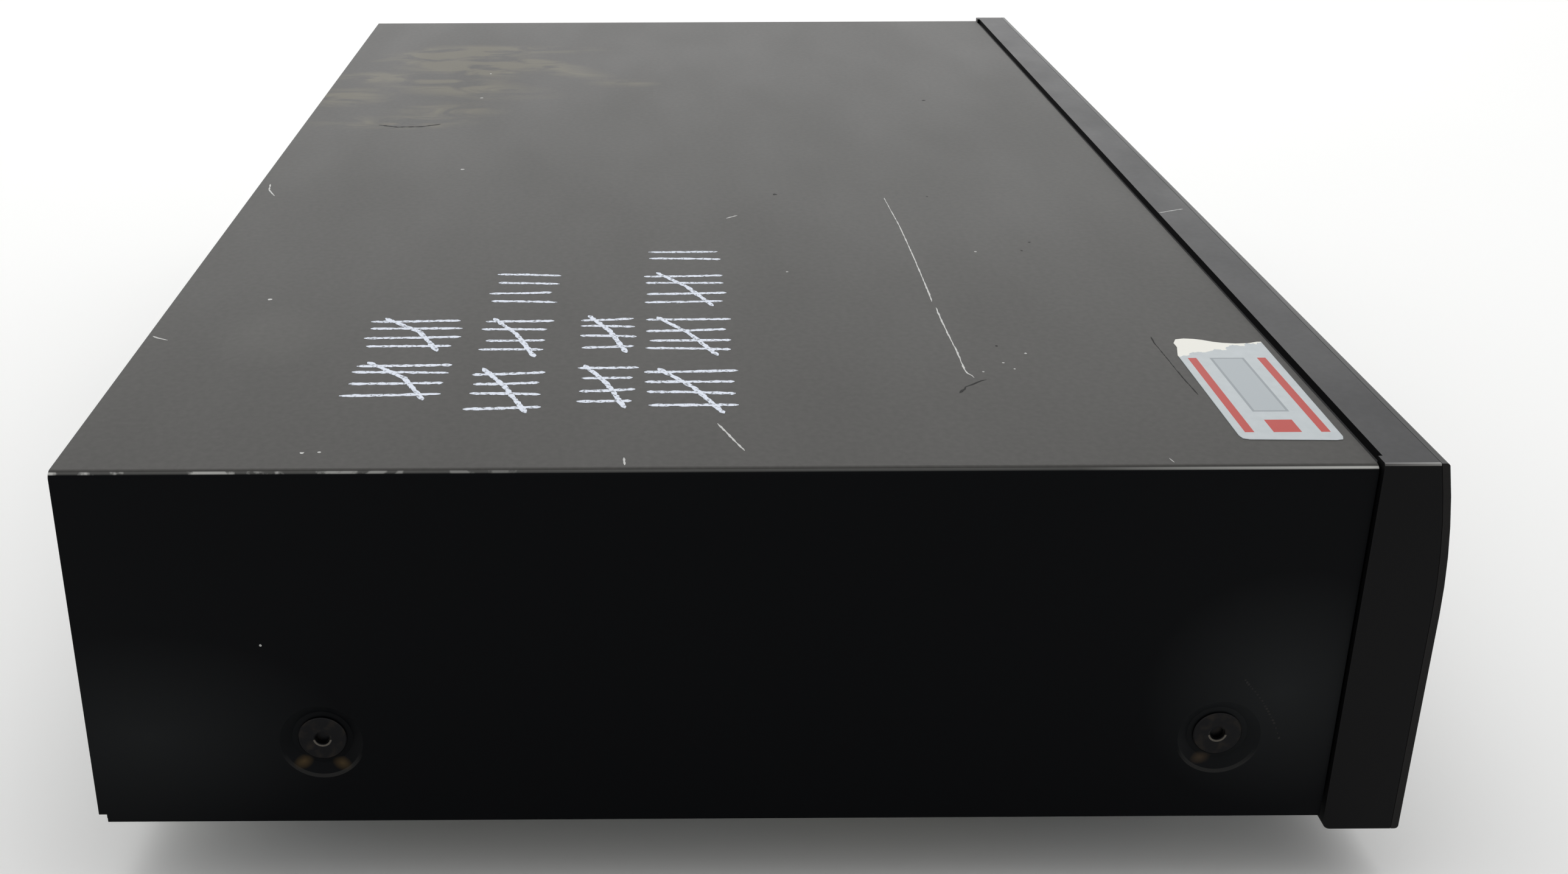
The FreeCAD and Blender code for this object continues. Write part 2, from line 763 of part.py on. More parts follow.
def make_base_chassis():
    owner = body("chassis_tray")
    blank = sketch(owner, "chassis_blank", "XY_Plane", "under_z",
                   rectangle("-flange_x", "flange_x", "floor_front_y", "panel_in_y"))
    pad(owner, "chassis_block", blank, "flange_height")
    hollow = sketch(owner, "chassis_inside", "XY_Plane", "under_z + flange_height", rectangle(
        "sheet_thick - flange_x", "flange_x - sheet_thick",
        "floor_front_y + sheet_thick", "panel_in_y - sheet_thick"))
    pocket(owner, "chassis_hollow", hollow, "flange_height - sheet_thick")
    for name, ends, height in (("front", ("floor_front_y - 1", "floor_front_y + sheet_thick + 1"),
                                "front_flange_height"),
                               ("rear", ("panel_in_y - sheet_thick - 1", "panel_in_y + 1"),
                                "rear_flange_height")):
        step = sketch(owner, f"chassis_{name}_step", "XY_Plane", "under_z + flange_height", rectangle(
            "sheet_thick - flange_x", "flange_x - sheet_thick", *ends))
        pocket(owner, f"chassis_{name}_cut", step, f"flange_height - {height}")
    added, taken = [], []
    for place, centre in enumerate(("foot_front_y + 42", "foot_rear_y - 48")):
        added.append(block(f"bead_{place}", ("40 - flange_x", "flange_x - 40"),
                           (f"{centre} - bead_width / 2", f"{centre} + bead_width / 2"),
                           ("floor_z - 0.1", "floor_z + bead_height")))
        taken.append(block(f"bead_groove_{place}", ("41 - flange_x", "flange_x - 41"),
                           (f"{centre} - bead_width / 2 + sheet_thick",
                            f"{centre} + bead_width / 2 - sheet_thick"),
                           ("under_z - 1", "under_z + bead_height")))
    for board, stands in STANDS.items():
        for place, (across, back) in enumerate(stands):
            added.append(cone(f"stand_{board}_{place}", "z", "stand_radius", "stand_top_radius",
                              ("floor_z - 0.1", "stand_z"), x=across, y=back))
            taken.append(round_bar(f"stand_hole_{board}_{place}", "z", "screw_radius + screw_play",
                                   ("under_z - 1", "stand_z + 1"), x=across, y=back))
    for name, (across, back) in FEET.items():
        taken.append(round_bar("foot_hole_" + name, "z", "screw_radius + screw_play",
                               ("under_z - 1", "floor_z + 1"), x=across, y=back))
    for place in range(8):
        taken.append(block(f"vent_{place}", (f"-supply_left + 22 + {place} * vent_pitch",
                                             f"-supply_left + 22 + {place} * vent_pitch + vent_width"),
                           ("supply_front_y + 60", "supply_front_y + 60 + vent_length"),
                           ("under_z - 1", "floor_z + 1")))
    for place in (-1, 0, 1):
        taken.append(round_bar(f"tab_screw_hole_{place + 2}", "z", "screw_radius + screw_play",
                               ("under_z - 1", "floor_z + 1"),
                               x=f"{place} * tab_spread", y="seam_y + tab_reach / 2"))
    for side in ("left", "right"):
        sign = "-" if side == "left" else ""
        for end in ("front", "rear"):
            taken.append(round_bar(f"flange_hole_{side}_{end}", "x", "screw_radius + screw_play",
                                   (f"{sign}flange_x - 3", f"{sign}flange_x + 3"),
                                   y=f"seam_y + dimple_{end}", z="screw_seat_z"))
    node("base_chassis", cut("chassis_cut", fuse("chassis_formed", [owner] + added), taken))


def make_rear_panel():
    plate = block("panel_sheet", ("fit_gap - inner_x", "inner_x - fit_gap"), ("panel_in_y", "panel_out_y"),
                  ("under_z", "inner_top_z - fit_gap"))
    fold = block("panel_fold", ("10 - inner_x", "inner_x - 10"), ("panel_in_y - 9", "panel_in_y + 0.5"),
                 ("inner_top_z - fit_gap - sheet_thick", "inner_top_z - fit_gap"))
    tools = []
    for place in range(4):
        for row in range(2):
            tools.append(round_bar(f"jack_hole_{place}_{row}", "y", "jack_hole",
                                   ("panel_in_y - 1", "panel_out_y + 1"),
                                   x=f"jack_first + {place} * jack_pitch",
                                   z=f"jack_low_z + {row} * jack_row_pitch"))
    tools.append(round_bar("coax_hole", "y", "jack_hole", ("panel_in_y - 1", "panel_out_y + 1"),
                           x="coax_across", z="jack_low_z"))
    openings = {"optical": ("optical_across", "jack_low_z", "5.2", "5.2"),
                "hdmi": ("hdmi_across", "board_top_z + 3", "7.9", "3.3"),
                "lan": ("lan_across", "board_top_z + 6.9", "8.3", "7.2"),
                "inlet": ("-inlet_across", "inlet_z", "inlet_width / 2 + 0.2", "inlet_height / 2 + 0.2")}
    for name, (across, up, half_wide, half_tall) in openings.items():
        tools.append(block(name + "_opening", (f"{across} - ({half_wide})", f"{across} + ({half_wide})"),
                           ("panel_in_y - 1", "panel_out_y + 1"),
                           (f"{up} - ({half_tall})", f"{up} + ({half_tall})")))
    for place in (-1, 0, 1):
        tools.append(round_bar(f"panel_lip_hole_{place + 2}", "y", "screw_radius + screw_play",
                               ("panel_in_y - 1", "panel_out_y + 1"),
                               x=f"{place} * lip_screw_spread", z="lip_screw_z"))
    for place in range(9):
        tools.append(block(f"panel_vent_{place}", (f"{place} * vent_pitch - 90",
                                                   f"{place} * vent_pitch - 90 + vent_width"),
                           ("panel_in_y - 1", "panel_out_y + 1"), ("top_z - 38", "top_z - 18")))
    node("rear_panel", cut("panel_cut", fuse("panel_formed", [plate, fold]), tools))


# Fascia

def curve_y(depth, height):
    """Where the front's curve, moved back by depth, stands at a height."""
    return (f"face_y + curve_radius - sqrt((curve_radius - ({depth})) ^ 2"
            f" - (({height}) - curve_low_z) ^ 2)")


def front_form(name, depth, half_width, back, low, high):
    """A solid with the front's curved face, moved back by depth."""
    owner = body(name)
    profile = sketch(owner, name + "_profile", "YZ_Plane", "0", [
        (f"face_y + ({depth})", low), (back, low), (back, high), (curve_y(depth, high), high),
        (f"face_y + ({depth})", "curve_low_z")],
        arcs={3: f"curve_radius - ({depth})"})
    pad(owner, name + "_pad", profile, f"2 * ({half_width})", both_ways=True)
    return owner


KEYS = {
    "open_close_key": ("open_key_across", "key_row_high"),
    "play_key": ("play_key_across", "key_row_high"),
    "pause_key": ("pause_key_across", "key_row_high"),
    "stop_key": ("stop_key_across", "key_row_high"),
    "skip_back_key": ("play_key_across", "key_row_low"),
    "skip_forward_key": ("pause_key_across", "key_row_low"),
}


def mouth(name):
    return block(name, ("-door_width / 2 - door_gap", "door_width / 2 + door_gap"),
                 ("face_y - 1", "face_y + 13"), ("door_low_z - door_gap", "door_high_z + door_gap"))


def key_holes(prefix):
    through = ("face_y - 1", "wall_back_y + 1")
    tools = [round_bar(prefix + "_power_hole", "y", "power_radius + key_gap", through,
                       x="-power_across", z="fascia_low_z + key_row_high")]
    for name, (across, rise) in KEYS.items():
        half_wide, half_tall = "(key_width / 2 + key_gap)", "(key_height / 2 + key_gap)"
        tools.append(block(f"{prefix}_{name}_hole",
                           (f"{across} - {half_wide}", f"{across} + {half_wide}"), through,
                           (f"fascia_low_z + {rise} - {half_tall}", f"fascia_low_z + {rise} + {half_tall}")))
    tools.append(block(prefix + "_usb_hole",
                       ("-power_across - usb_width / 2 - 0.2", "-power_across + usb_width / 2 + 0.2"),
                       through,
                       ("fascia_low_z + usb_rise - usb_height / 2 - 0.2",
                        "fascia_low_z + usb_rise + usb_height / 2 + 0.2")))
    return tools


def make_fascia_frame():
    outer = front_form("fascia_outer", "plate_back", "fascia_side_x", "fascia_rear_y",
                       "fascia_low_z", "fascia_top_z")
    low, back = number("fascia_low_z"), number("fascia_rear_y")
    soften(outer, "fascia_skirt", "skirt_radius", lambda edge: along(edge, "x")
           and near(edge.BoundBox.ZMax, low) and near(edge.BoundBox.YMin, back))
    cavity = front_form("fascia_cavity", "plate_back + fascia_wall", "fascia_side_x - fascia_wall",
                        "seam_y + 5", "fascia_low_z + fascia_wall", "fascia_top_z - fascia_wall")
    shell = cut("fascia_shell", outer, [cavity])
    ledge = block("fascia_ledge", ("5 - fascia_side_x", "fascia_side_x - 5"),
                  ("fascia_rear_y - 4", "seam_y + 4"),
                  ("inner_top_z - fit_gap - 1.5", "inner_top_z - fit_gap"))
    tabs = [block(f"fascia_tab_{place + 2}", (f"{place} * tab_spread - tab_width / 2",
                                              f"{place} * tab_spread + tab_width / 2"),
                  ("fascia_rear_y - 3", "seam_y + tab_reach"), ("under_z - 2.5", "under_z"))
            for place in (-1, 0, 1)]
    rib_places = ("38 - power_across", "-door_width / 2 - 21", "door_width / 2 + 16", "play_key_across - 18")
    ribs = [block(f"fascia_rib_{place}", (f"{across} - rib_thick / 2", f"{across} + rib_thick / 2"),
                  ("wall_back_y - 1", "wall_back_y + 3.5"),
                  ("fascia_low_z + 1", "door_low_z - door_gap - 2"))
            for place, across in enumerate(rib_places)]
    posts = [round_bar(f"fascia_post_{side}_{row}", "y", "3", ("wall_back_y - 0.5", "board_front_y"),
                       x=f"{sign}front_screw_across", z=f"front_board_low_z + {rise}")
             for side, sign in (("left", "-"), ("right", ""))
             for row, rise in enumerate(FRONT_SCREW_RISES)]
    groove = block("fascia_groove", ("groove_end - fascia_side_x", "fascia_side_x - groove_end"),
                   ("fascia_rear_y - groove_width", "fascia_rear_y + 0.01"),
                   ("fascia_top_z - groove_depth", "fascia_top_z + 1"))
    window = block("fascia_window", ("window_seat - window_width / 2", "window_width / 2 - window_seat"),
                   ("face_y", "wall_back_y + 1"),
                   ("window_low_z + window_seat", "window_high_z - window_seat"))
    holes = [round_bar(f"tab_hole_{place + 2}", "z", "screw_radius + 0.2", ("under_z - 4", "under_z + 1"),
                       x=f"{place} * tab_spread", y="seam_y + tab_reach / 2") for place in (-1, 0, 1)]
    holes += [round_bar(f"post_hole_{side}_{row}", "y", "screw_radius + screw_play",
                        ("board_front_y - 6", "board_front_y + 1"),
                        x=f"{sign}front_screw_across", z=f"front_board_low_z + {rise}")
              for side, sign in (("left", "-"), ("right", ""))
              for row, rise in enumerate(FRONT_SCREW_RISES)]
    node("fascia_frame", cut("fascia_cut", fuse("fascia_built", [shell, ledge] + tabs + ribs + posts),
                             [groove, mouth("fascia_mouth"), window] + key_holes("fascia") + holes))


def make_front_plate():
    face = front_form("plate_face", "0", "fascia_side_x", "fascia_rear_y", "fascia_low_z", "fascia_top_z")
    behind = front_form("plate_behind", "plate_thick", "fascia_side_x + 1", "fascia_rear_y + 1",
                        "fascia_low_z - 1", "fascia_top_z + 1")
    window = block("plate_window", ("-window_width / 2", "window_width / 2"), ("face_y - 1", "wall_back_y"),
                   ("window_low_z", "window_high_z"))
    sheet = cut("plate_cut", face, [behind, mouth("plate_mouth"), window] + key_holes("plate"))
    top, front = number("fascia_top_z"), number("face_y + top_setback")
    low, face_at = number("fascia_low_z"), number("face_y")
    node("front_plate", rounded("plate_rounded", sheet, "edge_radius", lambda edge: along(edge, "x") and (
        near(edge.BoundBox.ZMax, top) and near(edge.BoundBox.YMin, front)
        or near(edge.BoundBox.ZMax, low) and near(edge.BoundBox.YMin, face_at))))


def make_display():
    pane = block("window_pane", ("window_gap - window_width / 2", "window_width / 2 - window_gap"),
                 ("face_y", "face_y + plate_back"),
                 ("window_low_z + window_gap", "window_high_z - window_gap"))
    node("display_window", pane)
    glass = block("tube_glass", ("-window_width / 2 + 10", "window_width / 2 - 10"),
                  ("board_front_y - tube_depth", "board_front_y"),
                  ("window_low_z + 1.5", "window_high_z - 1.5"))
    node("display_tube", glass)


def make_front_board():
    sheet = block("front_board_sheet", ("-front_board_half", "front_board_half"),
                  ("board_front_y", "board_front_y + board_thick"),
                  ("front_board_low_z", "front_board_low_z + front_board_height"))
    holes = [block("usb_board_hole",
                   ("-power_across - usb_width / 2 - 0.2", "-power_across + usb_width / 2 + 0.2"),
                   ("board_front_y - 1", "board_front_y + board_thick + 1"),
                   ("fascia_low_z + usb_rise - usb_height / 2 - 0.2",
                    "fascia_low_z + usb_rise + usb_height / 2 + 0.2"))]
    holes += [round_bar(f"front_board_hole_{side}_{row}", "y", "screw_radius + screw_play",
                        ("board_front_y - 1", "board_front_y + board_thick + 1"),
                        x=f"{sign}front_screw_across", z=f"front_board_low_z + {rise}")
              for side, sign in (("left", "-"), ("right", ""))
              for row, rise in enumerate(FRONT_SCREW_RISES)]
    node("front_board", cut("front_board_cut", sheet, holes))


def key_switch(name, across, rise):
    housing = block(name + "_housing", (f"{across} - switch_size / 2", f"{across} + switch_size / 2"),
                    ("board_front_y - switch_body", "board_front_y"),
                    (f"fascia_low_z + {rise} - switch_size / 2", f"fascia_low_z + {rise} + switch_size / 2"))
    plunger = round_bar(name + "_plunger", "y", "1.7", ("plunger_y", "board_front_y - 1"),
                        x=across, z=f"fascia_low_z + {rise}")
    return fuse(name, [housing, plunger])


def make_switches():
    places = {"power": ("-power_across", "key_row_high"), **{name: place for name, place in KEYS.items()}}
    node("key_switches", group("switch_group", [key_switch(f"switch_{name}", *place)
                                                for name, place in places.items()]))


def make_keys():
    """Push keys: a cap through the front, a rim that holds it in, and a stem to its switch."""
    for name, (across, rise) in KEYS.items():
        owner = body(name + "_body")
        half_wide, half_tall = "key_width / 2", "key_height / 2"
        middle = f"(fascia_low_z + {rise})"
        cap = sketch(owner, name + "_cap_outline", "XZ_Plane", "-(wall_back_y + 0.1)", rectangle(
            f"{across} - {half_wide}", f"{across} + {half_wide}", f"{middle} - {half_tall}",
            f"{middle} + {half_tall}"))
        pad(owner, name + "_cap", cap, "wall_back_y + 0.1 - front_y")
        front = number("front_y")
        soften(owner, name + "_rounding", "key_round", lambda edge: near(edge.BoundBox.YMax, front))
        rim = sketch(owner, name + "_rim_outline", "XZ_Plane", "-(wall_back_y + 0.1)", rectangle(
            f"{across} - {half_wide} - key_rim", f"{across} + {half_wide} + key_rim",
            f"{middle} - {half_tall} - key_rim", f"{middle} + {half_tall} + key_rim"))
        pad(owner, name + "_rim", rim, "key_rim_thick", backwards=True)
        stem = sketch(owner, name + "_stem_outline", "XZ_Plane", "-(wall_back_y + 0.5)", rectangle(
            f"{across} - 1.5", f"{across} + 1.5", f"{middle} - 1.5", f"{middle} + 1.5"))
        pad(owner, name + "_stem", stem, "plunger_y - key_travel - 0.05 - wall_back_y - 0.5", backwards=True)
        node(name, owner)
    centre = {"x": "-power_across", "z": "fascia_low_z + key_row_high"}
    cap = round_bar("power_cap", "y", "power_radius", ("front_y", "wall_back_y + 0.5"), **centre)
    rim = round_bar("power_rim", "y", "power_radius + key_rim",
                    ("wall_back_y + 0.1", "wall_back_y + 0.1 + key_rim_thick"), **centre)
    stem = round_bar("power_stem", "y", "1.6", ("wall_back_y + 0.5", "plunger_y - key_travel - 0.05"),
                     **centre)
    built = fuse("power_built", [cap, rim, stem])
    front = number("front_y")
    node("power_button", rounded("power_rounded", built, "key_round",
                                 lambda edge: near(edge.BoundBox.YMax, front)))


def make_usb_socket():
    across, middle = "-power_across", "(fascia_low_z + usb_rise)"
    shell = block("usb_shell", (f"{across} - usb_width / 2", f"{across} + usb_width / 2"),
                  ("face_y + 0.2", "face_y + 0.2 + usb_depth"),
                  (f"{middle} - usb_height / 2", f"{middle} + usb_height / 2"))
    hollow = block("usb_hollow",
                   (f"{across} - usb_width / 2 + usb_shell", f"{across} + usb_width / 2 - usb_shell"),
                   ("face_y - 1", "face_y + usb_depth - 1.5"),
                   (f"{middle} - usb_height / 2 + usb_shell", f"{middle} + usb_height / 2 - usb_shell"))
    tongue = block("usb_tongue_bar", (f"{across} - 5.6", f"{across} + 5.6"),
                   ("face_y + 2", "face_y + usb_depth - 1"),
                   (f"{middle} + usb_height / 2 - usb_shell - usb_tongue - 0.3",
                    f"{middle} + usb_height / 2 - usb_shell - 0.3"))
    node("usb_socket", fuse("usb_built", [cut("usb_hollowed", shell, [hollow]), tongue]))


# Disc tray and its drive

def make_disc_tray():
    owner = body("tray_moulding")
    plan = sketch(owner, "tray_plan", "XY_Plane", "tray_bottom_z",
                  rectangle("-tray_half", "tray_half", "door_back_y", "tray_rear_y"))
    pad(owner, "tray_slab", plan, "tray_base + tray_rim")
    centre = {"x": "0", "y": "spindle_y"}
    large = round_bar("tray_large_recess", "z", "disc_radius + disc_play",
                      ("tray_floor_z", "tray_top_z + 1"), **centre)
    small = round_bar("tray_small_recess", "z", "small_disc_radius + disc_play",
                      ("tray_floor_z - small_recess", "tray_top_z + 1"), **centre)
    slot = block("tray_slot", ("-tray_slot_half", "tray_slot_half"), ("spindle_y", "tray_rear_y + 1"),
                 ("tray_bottom_z - 1", "tray_top_z + 1"))
    slot_end = round_bar("tray_slot_end", "z", "tray_slot_half", ("tray_bottom_z - 1", "tray_top_z + 1"),
                         x="0", y="spindle_y + tray_slot_half - tray_slot_front")
    finger_cuts = [block(f"tray_finger_{side}", (f"{sign}40 - 12", f"{sign}40 + 12"),
                         ("spindle_y - disc_radius - 20", "spindle_y - disc_radius + 16"),
                         ("tray_floor_z", "tray_top_z + 1"))
                   for side, sign in (("left", "-"), ("right", ""))]
    tail_hollows = [block(f"tray_tail_{side}", (low, high),
                          ("spindle_y + disc_radius + 8", "tray_rear_y - 3"),
                          ("tray_floor_z - 0.6", "tray_top_z + 1"))
                    for side, low, high in (("left", "4 - tray_half", "-tray_slot_half - 4"),
                                            ("right", "tray_slot_half + 4", "tray_half - 4"))]
    runners = [block(f"tray_runner_{side}", (low, high), ("door_back_y + 6", "tray_rear_y"),
                     ("runner_low_z", "runner_low_z + runner_thick"))
               for side, low, high in (("left", "-runner_x", "1 - tray_half"),
                                       ("right", "tray_half - 1", "runner_x"))]
    formed = cut("tray_formed", owner, [large, small, slot, slot_end] + finger_cuts + tail_hollows)
    node("disc_tray", fuse("tray_built", [formed, make_rack()] + runners))


def flat_piece(name, points, low, high):
    """An upright slab on a many-sided outline of worked-out points."""
    corners = [FreeCAD.Vector(across, back, low) for across, back in points]
    face = Part.Face(Part.makePolygon(corners + corners[:1]))
    item = doc.addObject("Part::Feature", name)
    item.Shape = face.extrude(FreeCAD.Vector(0, 0, high - low))
    return item


def make_rack():
    """The tray's rack: straight teeth at 20 degrees, one of them level with the drive gear's axle."""
    module, lean = number("gear_module"), math.tan(math.radians(20))
    pitch = math.pi * module
    line, play = -number("rack_across"), number("backlash") / 2
    half = pitch / 4 - play / 2
    tip, root = module, 1.25 * module
    gear_y = number("tray_gear_y")
    first = math.ceil((number("door_back_y + 4") - gear_y) / pitch)
    last = math.floor((number("tray_rear_y - 2") - gear_y) / pitch)
    points = [(line - root - number("rack_body"), gear_y + (first - 0.5) * pitch),
              (line - root - number("rack_body"), gear_y + (last + 0.5) * pitch),
              (line - root, gear_y + (last + 0.5) * pitch)]
    for tooth in range(last, first - 1, -1):
        middle = gear_y + tooth * pitch
        points += [(line - root, middle + half + root * lean), (line + tip, middle + half - tip * lean),
                   (line + tip, middle - half + tip * lean), (line - root, middle - half - root * lean)]
    points.append((line - root, gear_y + (first - 0.5) * pitch))
    top = number("tray_bottom_z + 0.5")
    return flat_piece("tray_rack", points, top - 0.5 - number("rack_height"), top)


def gear_points(teeth, module, play, first_tooth):
    """The outline of a spur gear about the origin, with a tooth at the angle first_tooth in degrees."""
    pitch_radius = module * teeth / 2
    base_radius = pitch_radius * math.cos(math.radians(20))
    tip_radius, root_radius = pitch_radius + module, pitch_radius - 1.25 * module
    full = math.tan(math.radians(20)) - math.radians(20)

    def half_angle(radius):
        lean = math.acos(min(1.0, base_radius / max(radius, base_radius)))
        return math.pi / (2 * teeth) - play / (2 * pitch_radius) + full - (math.tan(lean) - lean)

    points = []
    for tooth in range(teeth):
        middle = math.radians(first_tooth) + 2 * math.pi * tooth / teeth
        flank = [(radius, half_angle(radius)) for radius in (root_radius, pitch_radius, tip_radius)]
        for radius, half in [(radius, -half) for radius, half in flank] + flank[::-1]:
            points.append((radius * math.cos(middle + half), radius * math.sin(middle + half)))
    return points


def pinion_place():
    """Where the pinion stands beside the tray gear, and the angle of one of its teeth in mesh."""
    gear_teeth, pinion_teeth = round(number("tray_gear_teeth")), round(number("pinion_teeth"))
    way = -number("pinion_angle")
    turns = (way - 180) * gear_teeth / 360
    first_tooth = way + 180 + (turns - math.floor(turns)) * 360 / pinion_teeth
    distance = number("tray_gear_radius + pinion_radius")
    return (number("tray_gear_x") + distance * math.cos(math.radians(way)),
            number("tray_gear_y") + distance * math.sin(math.radians(way)), first_tooth)


def drilled(name, base, radius, across, back):
    bore = round_bar(name + "_bore", "z", radius, ("under_z", "top_z"), x=across, y=back)
    return cut(name + "_drilled", base, [bore])


def make_tray_gears():
    module, play = number("gear_module"), number("backlash") / 2
    teeth = round(number("tray_gear_teeth"))
    wheel = flat_piece("tray_gear_wheel", gear_points(teeth, module, play, 180 + 180 / teeth),
                       number("tray_gear_low_z"), number("tray_gear_top_z"))
    bind(wheel, x="tray_gear_x", y="tray_gear_y")
    node("tray_gear", drilled("tray_gear", wheel, "tray_gear_axle + axle_play", "tray_gear_x", "tray_gear_y"))
    across, back, first_tooth = pinion_place()
    pinion = flat_piece("pinion_wheel", gear_points(round(number("pinion_teeth")), module, play, first_tooth),
                        number("pulley_high_z") - 0.5, number("tray_gear_top_z"))
    pinion.Placement = FreeCAD.Placement(FreeCAD.Vector(across, back, 0), FreeCAD.Rotation())
    rim = "pulley_radius + pulley_flange"
    wheel = turned("pulley_wheel", [
        ("0", "pulley_low_z"), (rim, "pulley_low_z"), (rim, "pulley_low_z + 0.6"),
        ("pulley_radius", "pulley_low_z + 1.2"), ("pulley_radius", "pulley_high_z - 1.2"),
        (rim, "pulley_high_z - 0.6"), (rim, "pulley_high_z"), ("0", "pulley_high_z")],
        x=str(across), y=str(back))
    node("pulley_gear", drilled("pulley_gear", fuse("pulley_gear_blank", [wheel, pinion]),
                                "pinion_axle + axle_play", str(across), str(back)))


def make_motor():
    centre = {"x": "motor_across", "y": "motor_y"}
    can = round_bar("motor_can", "z", "motor_radius", ("deck_low_z - motor_length", "deck_low_z"), **centre)
    boss = round_bar("motor_boss", "z", "3", ("deck_low_z - 0.5", "deck_high_z - 0.5"), **centre)
    node("loading_motor", fuse("motor_built", [can, boss]))
    rim = "motor_pulley_radius + pulley_flange"
    wheel = turned("motor_pulley_body", [
        ("0", "deck_high_z - 0.2"), ("motor_shaft", "deck_high_z - 0.2"), ("motor_shaft", "pulley_low_z"),
        (rim, "pulley_low_z"), (rim, "pulley_low_z + 0.6"),
        ("motor_pulley_radius", "pulley_low_z + 1.2"), ("motor_pulley_radius", "pulley_high_z - 1.2"),
        (rim, "pulley_high_z - 0.6"), (rim, "pulley_high_z"), ("0", "pulley_high_z")], **centre)
    node("motor_pulley", wheel)


def loop_face(first, second, first_radius, second_radius):
    """The flat shape inside a band stretched round two circles."""
    way = math.atan2(second[1] - first[1], second[0] - first[0])
    apart = math.hypot(second[0] - first[0], second[1] - first[1])
    lean = math.acos((first_radius - second_radius) / apart)

    def point(centre, radius, angle):
        return FreeCAD.Vector(centre[0] + radius * math.cos(angle), centre[1] + radius * math.sin(angle), 0)

    high_first = point(first, first_radius, way + lean)
    high_second = point(second, second_radius, way + lean)
    low_first = point(first, first_radius, way - lean)
    low_second = point(second, second_radius, way - lean)
    edges = [Part.makeLine(low_first, low_second),
             Part.Arc(low_second, point(second, second_radius, way), high_second).toShape(),
             Part.makeLine(high_second, high_first),
             Part.Arc(high_first, point(first, first_radius, way + math.pi), low_first).toShape()]
    return Part.Face(Part.Wire(edges))


def make_belt():
    across, back, _ = pinion_place()
    wheel, motor = (across, back), (number("motor_across"), number("motor_y"))
    play, thick = number("belt_play"), number("belt_thick")
    wheel_radius, motor_radius = number("pulley_radius") + play, number("motor_pulley_radius") + play
    inner = loop_face(wheel, motor, wheel_radius, motor_radius)
    outer = loop_face(wheel, motor, wheel_radius + thick, motor_radius + thick)
    belt = doc.addObject("Part::Feature", "belt_band")
    belt.Shape = outer.cut(inner).extrude(FreeCAD.Vector(0, 0, thick))
    node("loading_belt", bind(belt, z="(pulley_low_z + pulley_high_z - belt_thick) / 2"))


def make_tray_door():
    face = front_form("door_face", "0", "door_width / 2", "door_back_y", "fascia_low_z", "fascia_top_z")
    slab = block("door_slab", ("-door_width / 2 - 1", "door_width / 2 + 1"),
                 ("face_y - 1", "door_back_y + 1"), ("door_low_z", "door_high_z"))
    outside = common("door_outside", face, slab)
    hollow = block("door_hollow", ("3 - door_width / 2", "door_width / 2 - 3"),
                   ("door_back_y - 3.2", "door_back_y + 1"), ("tray_top_z + 1", "door_high_z - 2.4"))
    node("tray_door", cut("door_hollowed", outside, [hollow]))


# Loader frame, clamp bridge and traverse

